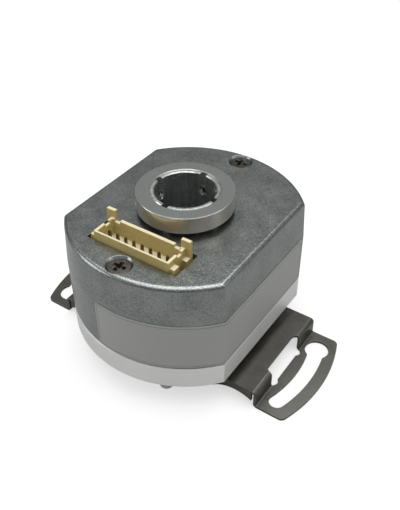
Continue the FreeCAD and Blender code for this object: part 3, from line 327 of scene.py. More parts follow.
@dataclass(frozen=True)
class Finish:
    """One surface finish.

    Colours are linear. Sizes are in millimetres.
    """

    name: str
    dark: Colour
    light: Colour
    texture: Texture = Texture.MOULDED
    metallic: float = 0.0
    rough_low: float = 0.35
    rough_high: float = 0.5
    grain_size: float = 0.3
    cloud_size: float = 6.0
    cloud_share: float = 0.35
    relief: float = 0.1
    edge_radius: float = 0.06
    edge_colour: Colour | None = None
    edge_strength: float = 0.6
    coat: float = 0.0
    alpha: float = 1.0
    scatter: float = 0.0
    polish: float | None = None
    # colour painted on upward faces: painted light where it is lighter than the rest, painted shade where
    # it is darker
    painted_top_colour: Colour | None = None
    painted_streak_colour: Colour | None = None
    streak_strength: float = 0.6
    streak_rate: float = 7.0

    def material(self, groups: ShaderGroups) -> bpy.types.Material:
        """Build the material, or return it if it was built before.

        Args:
            groups: the shared node groups.

        Returns:
            The finished material.
        """
        known = bpy.data.materials.get(self.name)
        if known is not None and known.get("encoder_finish"):
            return known
        material = bpy.data.materials.new(self.name)
        material["encoder_finish"] = True
        material.use_nodes = True
        material.node_tree.nodes.clear()
        sheet = NodeSheet(material.node_tree)
        place = sheet.add("ShaderNodeGroup", node_tree=groups.place)
        grain = sheet.add("ShaderNodeGroup", {
            "Vector": place.outputs[0], "Grain size": self.grain_size,
            "Cloud size": self.cloud_size}, node_tree=groups.grain)
        marks = self._marks(sheet, groups, place.outputs[0], grain.outputs["Grain"])
        mixed = sheet.math("ADD", sheet.math("MULTIPLY", marks, 1 - self.cloud_share),
                           sheet.math("MULTIPLY", grain.outputs["Clouds"], self.cloud_share))
        colour = sheet.blend(mixed, opaque(self.dark), opaque(self.light))
        rough = sheet.spread(grain.outputs["Clouds"], 0.0, 1.0, self.rough_low, self.rough_high)
        if self.polish is not None:
            rounds = sheet.add("ShaderNodeGroup", node_tree=groups.rounds)
            rough = sheet.spread(rounds.outputs["Mask"], 0.0, 1.0, rough, self.polish)
        # Painted reflection streaks: upright bands of the streak colour stand in for reflections round the
        # turned metal, warm on the collar and darker in the shaft's bore.
        if self.painted_streak_colour is not None:
            streaks = sheet.add("ShaderNodeGroup", {
                "Vector": place.outputs[0], "Rate": self.streak_rate}, node_tree=groups.streaks)
            amount = sheet.math("MULTIPLY", streaks.outputs["Mask"], self.streak_strength)
            colour = sheet.blend(amount, colour, opaque(self.painted_streak_colour))
        # Painted top tone: upward faces blend into the top colour, which stands in for how light falls on
        # the top (painted shade on the collar, painted light in the header).
        if self.painted_top_colour is not None:
            upper = sheet.add("ShaderNodeGroup", node_tree=groups.upper)
            colour = sheet.blend(upper.outputs["Mask"], colour, opaque(self.painted_top_colour))
        edge_wear_and_highlight = sheet.add("ShaderNodeGroup", {"Radius": self.edge_radius * MM}, node_tree=groups.edge_wear_and_highlight)
        # Edge colour: worn metal on some finishes, a painted highlight on the cover's and the header's
        # edges.
        if self.edge_colour is not None:
            amount = sheet.math("MULTIPLY", edge_wear_and_highlight.outputs["Mask"], self.edge_strength)
            colour = sheet.blend(amount, colour, opaque(self.edge_colour))
        bump = sheet.add("ShaderNodeBump", {"Strength": self.relief, "Distance": 0.05 * MM,
                                            "Height": marks, "Normal": edge_wear_and_highlight.outputs["Normal"]})
        shader = sheet.add("ShaderNodeBsdfPrincipled", {
            "Base Color": colour, "Roughness": rough, "Metallic": self.metallic,
            "Normal": bump.outputs[0], "Coat Weight": self.coat, "Alpha": self.alpha})
        if self.scatter > 0:
            shader.inputs["Subsurface Weight"].default_value = self.scatter
            shader.inputs["Subsurface Radius"].default_value = (1.0, 0.7, 0.4)
            shader.inputs["Subsurface Scale"].default_value = 0.8 * MM
        output = sheet.add("ShaderNodeOutputMaterial")
        sheet.tree.links.new(shader.outputs[0], output.inputs[0])
        return material

    def _marks(self, sheet: NodeSheet, groups: ShaderGroups, place: bpy.types.NodeSocket,
               grain: bpy.types.NodeSocket) -> bpy.types.NodeSocket:
        """Fine marks that suit the texture.

        Args:
            sheet: the material's sheet.
            groups: the shared node groups.
            place: socket of the place in millimetres.
            grain: socket of the grain.

        Returns:
            Socket of the marks, from 0 to 1.
        """
        if self.texture is Texture.TURNED:
            inputs, group = {"Vector": place, "Pitch": self.grain_size}, groups.turning
        elif self.texture is Texture.ROLLED:
            inputs, group = {"Vector": place, "Width": self.grain_size}, groups.rolling
        else:
            return grain
        return sheet.add("ShaderNodeGroup", inputs, node_tree=group).outputs["Marks"]


FINISHES = {finish.name: finish for finish in (
    # The cover's lighter edge colour is partly rubbed metal and partly a painted highlight along its edges.
    Finish("cast_cover", (0.17, 0.184, 0.178), (0.372, 0.394, 0.38), Texture.CAST, 0.94, 0.2, 0.27,
           grain_size=0.28, cloud_size=4.0, cloud_share=0.38, relief=0.28, edge_radius=0.12,
           edge_colour=(0.62, 0.63, 0.62), edge_strength=0.22, polish=0.25),
    Finish("machined_aluminium", (0.86, 0.86, 0.85), (0.94, 0.94, 0.93), Texture.TURNED, 0.65, 0.36, 0.46,
           grain_size=0.22, relief=0.04, edge_colour=(0.95, 0.95, 0.95)),
    Finish("gasket_rubber", (0.02, 0.02, 0.02), (0.05, 0.05, 0.05), rough_low=0.6, rough_high=0.8),
    Finish("label_film", (0.385, 0.39, 0.38), (0.435, 0.44, 0.43), metallic=0.3, rough_low=0.46,
           rough_high=0.56, grain_size=0.12, cloud_size=9.0, relief=0.03, edge_radius=0.03),
    # The shaft's darker upright streaks are painted reflections in the bore.
    Finish("turned_steel", (0.6, 0.62, 0.61), (0.76, 0.78, 0.76), Texture.TURNED, 0.95, 0.2, 0.3,
           grain_size=0.18, relief=0.1, edge_colour=(0.85, 0.85, 0.83),
           painted_streak_colour=(0.42, 0.44, 0.43), streak_rate=9.0),
    # The collar's sides are painted lighter and its upward faces darker: painted light on the sides,
    # painted shade on the top. Its warm upright streaks are painted reflections.
    Finish("collar_steel", (0.46, 0.475, 0.45), (0.6, 0.61, 0.58), Texture.TURNED, 0.8, 0.2, 0.28,
           grain_size=0.16, relief=0.14, edge_radius=0.05, edge_colour=(0.6, 0.6, 0.58),
           edge_strength=0.3, painted_top_colour=(0.31, 0.33, 0.315),
           painted_streak_colour=(0.66, 0.57, 0.48)),
    Finish("black_screws", (0.02, 0.02, 0.02), (0.05, 0.05, 0.05), metallic=0.6, rough_low=0.35,
           rough_high=0.5),
    Finish("spring_steel", (0.4, 0.4, 0.4), (0.5, 0.5, 0.49), Texture.ROLLED, 1.0, 0.3, 0.4),
    Finish("bearing_steel", (0.6, 0.6, 0.6), (0.75, 0.75, 0.75), Texture.TURNED, 1.0, 0.12, 0.2),
    Finish("brass_cage", (0.5, 0.34, 0.12), (0.66, 0.47, 0.18), Texture.TURNED, 1.0, 0.25, 0.35),
    Finish("disc_glass", (0.6, 0.7, 0.72), (0.75, 0.8, 0.82), rough_low=0.05, rough_high=0.1,
           alpha=0.45, relief=0.0),
    Finish("black_plastic", (0.012, 0.012, 0.012), (0.03, 0.03, 0.03), rough_low=0.4, rough_high=0.6),
    Finish("lamp_resin", (0.12, 0.14, 0.3), (0.2, 0.24, 0.4), rough_low=0.1, rough_high=0.2, coat=0.5),
    # The contacts' dark brown tone is painted shade: they stand deep inside the shroud.
    Finish("tinned_metal", (0.13, 0.1, 0.045), (0.22, 0.175, 0.09), Texture.ROLLED, 1.0, 0.25, 0.4,
           grain_size=0.1),
    Finish("board_laminate", (0.006, 0.06, 0.02), (0.012, 0.1, 0.035), rough_low=0.25, rough_high=0.35,
           grain_size=0.8, coat=0.3),
    Finish("ceramic", (0.25, 0.16, 0.08), (0.36, 0.24, 0.13), rough_low=0.4, rough_high=0.5),
    # The header's upward faces take a lighter colour, painted light from above, and its pale edge colour is
    # a painted highlight on the rims.
    Finish("cream_nylon", (0.45, 0.345, 0.12), (0.53, 0.43, 0.185), rough_low=0.36, rough_high=0.48,
           grain_size=0.5, cloud_size=3.0, relief=0.04, edge_radius=0.07,
           edge_colour=(0.8, 0.75, 0.56), scatter=0.15, painted_top_colour=(0.7, 0.63, 0.42)),
    Finish("nickel_screws", (0.085, 0.077, 0.068), (0.16, 0.147, 0.134), Texture.TURNED, 1.0, 0.24, 0.36,
           grain_size=0.12, relief=0.15, edge_colour=(0.6, 0.59, 0.56)),
    Finish("pale_zinc", (0.6, 0.6, 0.58), (0.75, 0.75, 0.73), Texture.TURNED, 0.6, 0.3, 0.42,
           grain_size=0.15, relief=0.1, edge_colour=(0.85, 0.85, 0.83)),
    Finish("bracket_steel", (0.11, 0.108, 0.096), (0.155, 0.152, 0.137), Texture.ROLLED, 0.94, 0.26, 0.34,
           grain_size=0.15, relief=0.06, edge_radius=0.08, edge_colour=(0.3, 0.3, 0.28),
           edge_strength=0.6),
)}


# ---------------------------------------------------------------- pieces
def node_slot(node: str) -> str:
    """Material slot that the record gives a node."""
    return next(part["material_slot"] for part in FRAME["record"]["subparts"] if part["node"] == node)


def node_body(node: str) -> str:
    """Body that holds a node."""
    bodies = FRAME["record"]["behaviour"]["bodies"]
    return next(body for body, nodes in bodies.items() if node in nodes)


def new_object(name: str, mesh: bpy.types.Mesh) -> bpy.types.Object:
    """Object at the origin that shows a mesh.

    Args:
        name: name of the object.
        mesh: mesh in metres, in its final place.

    Returns:
        The new object.
    """
    piece = bpy.data.objects.new(name, mesh)
    bpy.context.scene.collection.objects.link(piece)
    return piece


def circle_loop(radius: float, height: float, angles: Array) -> Array:
    """Circle about the axis: each point lies at the radius and one of the angles."""
    return np.stack([radius * np.cos(angles), radius * np.sin(angles), np.full(angles.shape, height)], 1)


def arc(centre_x: float, centre_y: float, radius: float, start: float, end: float,
        count: int) -> Array:
    """Points of a plane arc: the centre plus the radius turned from the start to the end angle."""
    turn = np.linspace(start, end, count, endpoint=False)
    return np.stack([centre_x + radius * np.cos(turn), centre_y + radius * np.sin(turn)], 1)


def straight(start: tuple[float, float], end: tuple[float, float], count: int) -> Array:
    """Points of a straight run, evenly spaced, without the end."""
    share = np.linspace(0.0, 1.0, count, endpoint=False)[:, None]
    return np.asarray(start) * (1 - share) + np.asarray(end) * share


def flatted_loop(radius: float, reach: float, corner: float, height: float) -> Array:
    """Circle cut by two flats, with rounded corners.

    Each corner arc touches a flat and the circle: its centre lies a corner radius inside both.

    Args:
        radius: radius of the circle.
        reach: distance of each flat from the axis.
        corner: radius of the corners.
        height: height of the loop.

    Returns:
        Points in order, anticlockwise from the front end of the +X flat.
    """
    x = reach - corner
    y = math.sqrt((radius - corner) ** 2 - x ** 2)
    turn = math.atan2(y, x)
    half, full = math.pi, 2 * math.pi
    parts = [straight((reach, -y), (reach, y), 16), arc(x, y, corner, 0, turn, 8),
             arc(0, 0, radius, turn, half - turn, 96), arc(-x, y, corner, half - turn, half, 8),
             straight((-reach, y), (-reach, -y), 16), arc(-x, -y, corner, half, half + turn, 8),
             arc(0, 0, radius, half + turn, full - turn, 96), arc(x, -y, corner, full - turn, full, 8)]
    flat = np.concatenate(parts)
    return np.column_stack([flat, np.full(len(flat), height)])


def box_loop(half_x: float, half_y: float, corner: float, centre: tuple[float, float],
             height: float) -> Array:
    """Rectangle with round corners: a quarter arc about each inner corner in turn.

    Args:
        half_x: half the width.
        half_y: half the depth.
        corner: radius of the corners.
        centre: middle of the rectangle.
        height: height of the loop.

    Returns:
        Points in order, anticlockwise.
    """
    quarter = math.pi / 2
    signs = ((1, 1), (-1, 1), (-1, -1), (1, -1))
    parts = [arc(centre[0] + sx * (half_x - corner), centre[1] + sy * (half_y - corner), corner,
                 index * quarter, (index + 1) * quarter, 6) for index, (sx, sy) in enumerate(signs)]
    flat = np.concatenate(parts)
    return np.column_stack([flat, np.full(len(flat), height)])


def cross_loop(span: float, width: float, centre: tuple[float, float], height: float) -> Array:
    """Plus sign: three corners at half the span and half the width, turned by quarter turns.

    Args:
        span: length of the sign's bars.
        width: width of its bars.
        centre: middle of the sign.
        height: height of the loop.

    Returns:
        Twelve points in order, anticlockwise.
    """
    far, near = span / 2, width / 2
    arm = np.array([[far, -near], [far, near], [near, near]])
    quarter_turn = np.array([[0.0, -1.0], [1.0, 0.0]])
    turns = [np.linalg.matrix_power(quarter_turn, count) for count in range(4)]
    flat = np.concatenate([arm @ turn.T for turn in turns]) + np.asarray(centre)
    return np.column_stack([flat, np.full(len(flat), height)])


@dataclass(frozen=True)
class Skin:
    """Closed surface of two parameters: the place along a loop, and the loop.

    The loops are joined in order. A ring joins its last loop to its first, and any other skin is
    closed by a fan at each end.
    """

    loops: Array
    ring: bool = False

    def mesh(self, name: str) -> bpy.types.Mesh:
        """Make the mesh.

        Args:
            name: name of the mesh.

        Returns:
            Mesh in metres whose faces point outwards.
        """
        rows, columns, _ = self.loops.shape
        points = self.loops.reshape(-1, 3)
        row = np.arange(rows if self.ring else rows - 1)[:, None]
        column = np.arange(columns)[None, :]
        after, above = (column + 1) % columns, (row + 1) % rows
        quads = np.stack([row * columns + column, row * columns + after,
                          above * columns + after, above * columns + column], -1).reshape(-1, 4)
        fans = np.empty((0, 3), int)
        if not self.ring:
            points = np.concatenate([points, self.loops[0].mean(0)[None], self.loops[-1].mean(0)[None]])
            first, last = np.arange(columns), (rows - 1) * columns + np.arange(columns)
            centre = np.full(columns, rows * columns)
            fans = np.concatenate([np.stack([np.roll(first, -1), first, centre], 1),
                                   np.stack([last, np.roll(last, -1), centre + 1], 1)])
        halves = np.concatenate([quads[:, [0, 1, 2]], quads[:, [0, 2, 3]], fans])
        corner = points[halves]
        volume = np.einsum("ij,ij->i", corner[:, 0], np.cross(corner[:, 1], corner[:, 2])).sum()
        if volume < 0:
            quads, fans = quads[:, ::-1], fans[:, ::-1]
        mesh = bpy.data.meshes.new(name)
        mesh.from_pydata((points * MM).tolist(), [], quads.tolist() + fans.tolist())
        return mesh


def revolved(profile: Array, centre: tuple[float, float] = (0.0, 0.0), steps: int = 192,
             ring: bool = False) -> Skin:
    """Surface of revolution: each profile point is carried round an upright axis.

    Args:
        profile: radius and height of each point.
        centre: place of the axis.
        steps: number of points round the axis.
        ring: whether the profile is closed.

    Returns:
        The closed surface.
    """
    angles = np.linspace(0, 2 * math.pi, steps, endpoint=False)
    loops = np.stack([circle_loop(radius, height, angles) for radius, height in profile])
    return Skin(loops + np.array([*centre, 0.0]), ring)


def joined(name: str, parts: list[bpy.types.Mesh]) -> bpy.types.Mesh:
    """Join meshes into one and remove them.

    Args:
        name: name of the new mesh.
        parts: the meshes to join.

    Returns:
        The new mesh.
    """
    shape = bmesh.new()
    for part in parts:
        shape.from_mesh(part)
        bpy.data.meshes.remove(part)
    mesh = bpy.data.meshes.new(name)
    shape.to_mesh(mesh)
    shape.free()
    return mesh


def carve(piece: bpy.types.Object, tools: list[bpy.types.Mesh]) -> None:
    """Cut closed tools out of a piece and keep the result as its mesh.

    Args:
        piece: the piece to cut.
        tools: meshes of the cutting tools, removed afterwards.
    """
    cutters = [new_object(f"cutter_{index}", mesh) for index, mesh in enumerate(tools)]
    for cutter in cutters:
        modifier = piece.modifiers.new("cut", "BOOLEAN")
        modifier.operation = "DIFFERENCE"
        modifier.solver = "EXACT"
        modifier.object = cutter
    graph = bpy.context.evaluated_depsgraph_get()
    result = bpy.data.meshes.new_from_object(piece.evaluated_get(graph))
    piece.modifiers.clear()
    old, piece.data = piece.data, result
    bpy.data.meshes.remove(old)
    for cutter in cutters:
        data = cutter.data
        bpy.data.objects.remove(cutter)
        bpy.data.meshes.remove(data)


def finish_piece(piece: bpy.types.Object, node: str, groups: ShaderGroups, edge: float = 0.0,
                 sharp_angle: float = 30.0, material: bpy.types.Material | None = None) -> None:
    """Smooth a new piece, soften its edges, dress it and put it in its node's place.

    Args:
        piece: the new piece.
        node: the model node that it stands for.
        groups: the shared node groups.
        edge: width of the softened edges in millimetres.
        sharp_angle: angle in degrees above which an edge is sharp.
        material: finish to use in place of the one of the node's slot.
    """
    mesh = piece.data
    mesh.shade_smooth()
    mesh.set_sharp_from_angle(angle=math.radians(sharp_angle))
    if edge > 0:
        bevel = piece.modifiers.new("softened_edges", "BEVEL")
        bevel.width = edge * MM
        bevel.segments = 2
        bevel.limit_method = "ANGLE"
        bevel.angle_limit = math.radians(sharp_angle)
    weighted = piece.modifiers.new("even_normals", "WEIGHTED_NORMAL")
    weighted.keep_sharp = True
    slot = node_slot(node)
    mesh.materials.clear()
    mesh.materials.append(material or FINISHES[slot].material(groups))
    piece["stands_for"] = node
    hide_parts(node)
    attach(piece, node_body(node))


@dataclass(frozen=True)
class FineCopy:
    """Copy of a model node with merged corners, smooth curves and softened edges.

    The edge is in millimetres and the angle in degrees. A finish named here is used in place of the
    one of the node's slot.
    """

    node: str
    name: str
    edge: float = 0.0
    sharp_angle: float = 30.0
    finish: str | None = None

    def build(self, groups: ShaderGroups) -> bpy.types.Object:
        """Make the piece, dress it and let it ride in the node's place.

        Args:
            groups: the shared node groups.

        Returns:
            The new piece.
        """
        mesh = FRAME["nodes"][self.node].data.copy()
        mesh.name = self.name
        shape = bmesh.new()
        shape.from_mesh(mesh)
        bmesh.ops.remove_doubles(shape, verts=shape.verts, dist=0.0005 * MM)
        bmesh.ops.recalc_face_normals(shape, faces=shape.faces)
        bmesh.ops.dissolve_limit(shape, angle_limit=math.radians(0.2), verts=shape.verts,
                                 edges=shape.edges)
        shape.to_mesh(mesh)
        shape.free()
        piece = new_object(self.name, mesh)
        material = FINISHES[self.finish].material(groups) if self.finish else None
        finish_piece(piece, self.node, groups, self.edge, self.sharp_angle, material)
        return piece


def dress_node(node: str, groups: ShaderGroups) -> None:
    """Give a model node the finish of its slot.

    Args:
        node: name of the node.
        groups: the shared node groups.
    """
    mesh = FRAME["nodes"][node].data
    mesh.materials.clear()
    mesh.materials.append(FINISHES[node_slot(node)].material(groups))


# ---------------------------------------------------------------- studio
@dataclass(frozen=True)
class Lamp:
    """Square soft lamp that faces the object. Lengths are in millimetres, power is in watts."""

    name: str
    place: tuple[float, float, float]
    size: float
    power: float


@dataclass
class Studio:
    """Floor, lights and camera. Lengths are in millimetres, angles in degrees."""

    camera_place: tuple[float, float, float] = (50.854, -70.366, 87.53)
    camera_target: tuple[float, float, float] = (1.821, 1.690, 14.98)
    camera_roll: float = -0.27
    lens: float = 48.69
    shift: tuple[float, float] = (-0.0036, 0.0003)
    floor_size: float = 6000.0
    floor_drop: float = 0.02
    floor_tone: float = 0.43
    floor_glow: float = 0.6
    horizon_tone: float = 0.8
    lamps: tuple[Lamp, ...] = (Lamp("overhead", (10.0, 10.0, 330.0), 400.0, 1.15),
                               Lamp("left_fill", (-230.0, -190.0, 120.0), 150.0, 0.2),
                               Lamp("right_fill", (260.0, 90.0, 130.0), 150.0, 0.08))
    sky: tuple[tuple[float, float], ...] = ((0.0, 0.12), (0.3, 0.26), (0.6, 0.42), (1.0, 0.5))

    def build(self) -> None:
        """Make the whole studio."""
        bpy.context.scene.view_settings.view_transform = "Standard"
        self._floor()
        self._world()
        for lamp in self.lamps:
            self._light(lamp)
        self._camera()

    def _floor(self) -> None:
        """Plain pale floor under the bracket's feet, which can be seen through from below."""
        half = self.floor_size * MM / 2
        mesh = bpy.data.meshes.new("floor")
        low = -self.floor_drop * MM
        corners = [(-half, -half, low), (half, -half, low), (half, half, low), (-half, half, low)]
        mesh.from_pydata(corners, [], [(0, 1, 2, 3)])
        material = bpy.data.materials.new("floor_paint")
        material.use_nodes = True
        sheet = NodeSheet(material.node_tree)
        shader = material.node_tree.nodes["Principled BSDF"]
        shader.inputs["Base Color"].default_value = opaque((self.floor_tone,) * 3)
        shader.inputs["Roughness"].default_value = 0.9
        shader.inputs["Specular IOR Level"].default_value = 0.1
        path = sheet.add("ShaderNodeLightPath")
        glow = sheet.math("MULTIPLY", path.outputs["Is Camera Ray"], self.floor_glow)
        shader.inputs["Emission Color"].default_value = (1, 1, 1, 1)
        sheet.tree.links.new(glow, shader.inputs["Emission Strength"])
        side = sheet.add("ShaderNodeNewGeometry")
        clear = sheet.add("ShaderNodeBsdfTransparent")
        mixed = sheet.add("ShaderNodeMixShader", {0: side.outputs["Backfacing"], 1: shader.outputs[0],
                                                  2: clear.outputs[0]})
        output = material.node_tree.nodes["Material Output"]
        sheet.tree.links.new(mixed.outputs[0], output.inputs["Surface"])
        mesh.materials.append(material)
        new_object("floor", mesh)

    def _world(self) -> None:
        """Soft surroundings that are brighter overhead than at the horizon."""
        world = bpy.data.worlds.new("studio")
        world.use_nodes = True
        sheet = NodeSheet(world.node_tree)
        background = world.node_tree.nodes["Background"]
        place = sheet.add("ShaderNodeTexCoord")
        split = sheet.add("ShaderNodeSeparateXYZ", {0: place.outputs["Generated"]})
        ramp = sheet.add("ShaderNodeValToRGB", {0: split.outputs[2]})
        stops = ramp.color_ramp.elements
        while len(stops) < len(self.sky):
            stops.new(0.5)
        for stop, (position, tone) in zip(stops, self.sky):
            stop.position = position
            stop.color = opaque((tone,) * 3)
        path = sheet.add("ShaderNodeLightPath")
        seen = sheet.blend(path.outputs["Is Camera Ray"], ramp.outputs[0],
                           opaque((self.horizon_tone,) * 3))
        sheet.tree.links.new(seen, background.inputs["Color"])
        bpy.context.scene.world = world

    def _light(self, lamp: Lamp) -> None:
        """Hang a lamp and turn it to the object.

        Args:
            lamp: the lamp.
        """
        data = bpy.data.lights.new(lamp.name, "AREA")
        data.shape = "SQUARE"
        data.size = lamp.size * MM
        data.energy = lamp.power
        light = bpy.data.objects.new(lamp.name, data)
        light.location = Vector(lamp.place) * MM
        aim = Vector(self.camera_target) * MM - light.location
        light.rotation_euler = aim.to_track_quat("-Z", "Y").to_euler()
        bpy.context.scene.collection.objects.link(light)

    def _camera(self) -> None:
        """Camera at the chosen viewing angle."""
        data = bpy.data.cameras.new("camera")
        data.lens = self.lens
        data.shift_x, data.shift_y = self.shift
        data.clip_start = MM
        data.clip_end = 10.0
        camera = bpy.data.objects.new("camera", data)
        place = Vector(self.camera_place) * MM
        aim = Vector(self.camera_target) * MM - place
        turn = aim.to_track_quat("-Z", "Y").to_matrix().to_4x4()
        roll = Matrix.Rotation(math.radians(self.camera_roll), 4, "Z")
        camera.matrix_world = Matrix.Translation(place) @ turn @ roll
        bpy.context.scene.collection.objects.link(camera)
        bpy.context.scene.camera = camera


# ---------------------------------------------------------------- sub-assemblies
@dataclass
class Casing:
    """Cover, base, gasket, label and cover screws. Lengths in millimetres, angles in degrees."""

    radius: float = 19.05
    reach: float = 15.0
    corner: float = 0.4
    bottom: float = 9.42
    skirt_top: float = 18.02
    top: float = 24.82
    draft: float = 2.9
    top_round: float = 0.75
    wall: float = 1.65
    roof: float = 1.5
    shaft_hole: float = 5.9
    hole_round: float = 0.12
    cutout: tuple[float, float, float, float] = (-8.05, 8.05, -13.9, -8.4)
    screw_place: float = 16.24
    screw_radius: float = 2.05
    screw_depth: float = 1.35
    head_radius: float = 1.72
    head_sink: float = 0.2
    label_start: float = -99.5
    label_end: float = 11.2
    label_bottom: float = 9.52
    label_gap: float = 0.02
    label_thick: float = 0.117
    label_corner: float = 0.5
    line_inset: float = 0.32
    line_width: float = 0.13
    line_strength: float = 0.5
    ink: Colour = (0.05, 0.05, 0.05)
    copies: tuple[FineCopy, ...] = (FineCopy("base", "base_body", edge=0.08),
                                    FineCopy("cover_gasket", "gasket_ring"))

    def build(self, groups: ShaderGroups) -> list[bpy.types.Object]:
        """Build and dress every piece of the casing."""
        pieces = [copy.build(groups) for copy in self.copies]
        return pieces + [self._cover(groups), self._label(groups), self._screws(groups)]

    def _outline(self, inset: float, height: float) -> Array:
        """Outline of the casing, moved inwards."""
        corner = max(self.corner - inset / 4, 0.2)
        return flatted_loop(self.radius - inset, self.reach - inset, corner, height)

    def _cover(self, groups: ShaderGroups) -> bpy.types.Object:
        """Cover shell.

        The outside follows the outline up the skirt and the drafted crown, turns over a quarter
        round and runs level to the shaft hole. The inside follows it back at the wall's thickness.

        Args:
            groups: the shared node groups.

        Returns:
            The finished piece.
        """
        slope = math.tan(math.radians(self.draft))
        shoulder = self.top - self.top_round
        lean = (shoulder - self.skirt_top) * slope
        turn = np.radians(np.linspace(0, 90, 15))
        outside = [(0.12, self.bottom), (0.035, self.bottom + 0.035), (0.0, self.bottom + 0.12),
                   (0.0, self.bottom + 0.3), (0.0, self.skirt_top - 0.1), (0.0, self.skirt_top),
                   (0.1 * slope, self.skirt_top + 0.1), (lean / 2, (shoulder + self.skirt_top) / 2)]
        outside += [(lean + self.top_round * (1 - math.cos(angle)),
                     shoulder + self.top_round * math.sin(angle)) for angle in turn]
        inset = lean + self.top_round
        outside += [(inset + 0.1, self.top), (inset + 0.4, self.top)]
        loops = [self._outline(*step) for step in outside]
        rim = loops[-1]
        angles = np.arctan2(rim[:, 1], rim[:, 0])
        edge = circle_loop(self.shaft_hole + self.hole_round + 0.3, self.top, angles)
        loops += [rim * (1 - share) + edge * share for share in (0.3, 0.6, 0.85, 1.0)]
        loops += [circle_loop(self.shaft_hole + self.hole_round * (1 - math.sin(angle)),
                              self.top - self.hole_round * (1 - math.cos(angle)), angles)
                  for angle in np.radians(np.linspace(0, 90, 6))]
        ceiling = self.top - self.roof
        loops.append(circle_loop(self.shaft_hole, ceiling, angles))
        loops += [self._outline(self.wall, ceiling), self._outline(self.wall, self.bottom)]
        piece = new_object("cover_shell", Skin(np.stack(loops), True).mesh("cover_shell"))
        low_x, high_x, low_y, high_y = self.cutout
        middle = ((low_x + high_x) / 2, (low_y + high_y) / 2)
        opening = [box_loop((high_x - low_x) / 2, (high_y - low_y) / 2, 0.25, middle, height)
                   for height in (ceiling - 1, self.top + 1)]
        tools = [Skin(np.stack(opening)).mesh("opening")]
        for side in (-1, 1):
            sink = np.array([(0.5, ceiling - 1), (1.0, self.top - self.screw_depth),
                             (self.screw_radius, self.top), (self.screw_radius + 1, self.top + 1)])
            tools.append(revolved(sink, (0, side * self.screw_place), 64).mesh("sink"))
        carve(piece, tools)
        finish_piece(piece, "top_cover", groups, edge=0.05, sharp_angle=25)
        return piece

    def _label(self, groups: ShaderGroups) -> bpy.types.Object:
        """Label sheet.

        Its path runs along the front arc, round the near corner and along the +X flat. Each point
        along it carries a thin upright section, which gets lower towards both ends in a quarter
        circle, so that the sheet's corners are round.

        Args:
            groups: the shared node groups.

        Returns:
            The finished piece.
        """
        radius, reach = self.radius + self.label_gap, self.reach + self.label_gap
        x = reach - self.corner
        y = math.sqrt((radius - self.corner) ** 2 - x ** 2)
        turn = math.atan2(y, x)
        start = math.radians(self.label_start)
        bends = np.concatenate([np.linspace(start, -turn, 120, endpoint=False),
                                np.linspace(-turn, 0, 12, endpoint=False), np.zeros(40)])
        path = np.concatenate([arc(0, 0, radius, start, -turn, 120),
                               arc(x, -y, self.corner, -turn, 0, 12),
                               straight((reach, -y), (reach, self.label_end), 39),
                               [[reach, self.label_end]]])
        along = np.concatenate([[0], np.cumsum(np.linalg.norm(np.diff(path, axis=0), axis=1))])
        extra = self.label_corner * (1 - np.cos(np.radians(np.linspace(6, 84, 8))))
        places = np.unique(np.concatenate([along, extra, along[-1] - extra]))
        path = np.stack([np.interp(places, along, path[:, axis]) for axis in (0, 1)], 1)
        bends = np.interp(places, along, bends)
        close = np.clip(np.minimum(places, along[-1] - places), 0, self.label_corner)
        drop = self.label_corner - np.sqrt(self.label_corner ** 2 - (self.label_corner - close) ** 2)
        height = self.skirt_top - self.label_bottom
        across = 14
        share = np.linspace(0, 1, across)
        levels = drop[:, None] + (height - 2 * drop)[:, None] * share[None, :]
        levels = np.concatenate([levels, levels[:, ::-1]], 1)
        depth = np.concatenate([np.zeros(across), np.full(across, self.label_thick)])
        normal = np.stack([np.cos(bends), np.sin(bends)], 1)
        plane = path[:, None, :] + normal[:, None, :] * depth[None, :, None]
        loops = np.concatenate([plane, levels[:, :, None] + self.label_bottom], 2)
        mesh = Skin(loops).mesh("label_sheet")
        marks = np.zeros((len(mesh.vertices), 3))
        marks[:levels.size, 0] = np.repeat(places, 2 * across)
        marks[:levels.size, 1] = levels.ravel()
        marks[-2:, 1] = height / 2
        marks[-1, 0] = places[-1]
        layer = mesh.attributes.new("sheet_mm", "FLOAT_VECTOR", "POINT")
        layer.data.foreach_set("vector", marks.ravel())
        piece = new_object("label_sheet", mesh)
        finish_piece(piece, "side_label", groups,
                     material=self._printed(groups, float(places[-1]), height))
        return piece

    def _printed(self, groups: ShaderGroups, length: float, height: float) -> bpy.types.Material:
        """Label finish with a printed line inside the sheet's border.

        Args:
            groups: the shared node groups.
            length: length of the sheet.
            height: height of the sheet.

        Returns:
            The label's material.
        """
        material = FINISHES["label_film"].material(groups)
        sheet = NodeSheet(material.node_tree)
        place = sheet.add("ShaderNodeAttribute", attribute_name="sheet_mm")
        line = sheet.add("ShaderNodeGroup", {
            "Vector": place.outputs["Vector"], "Length": length, "Height": height,
            "Inset": self.line_inset, "Width": self.line_width}, node_tree=groups.frame_line)
        shader = next(node for node in sheet.tree.nodes if node.type == "BSDF_PRINCIPLED")
        plain = shader.inputs["Base Color"].links[0].from_socket
        amount = sheet.math("MULTIPLY", line.outputs["Mask"], self.line_strength)
        printed = sheet.blend(amount, plain, opaque(self.ink))
        sheet.tree.links.new(printed, shader.inputs["Base Color"])
        return material

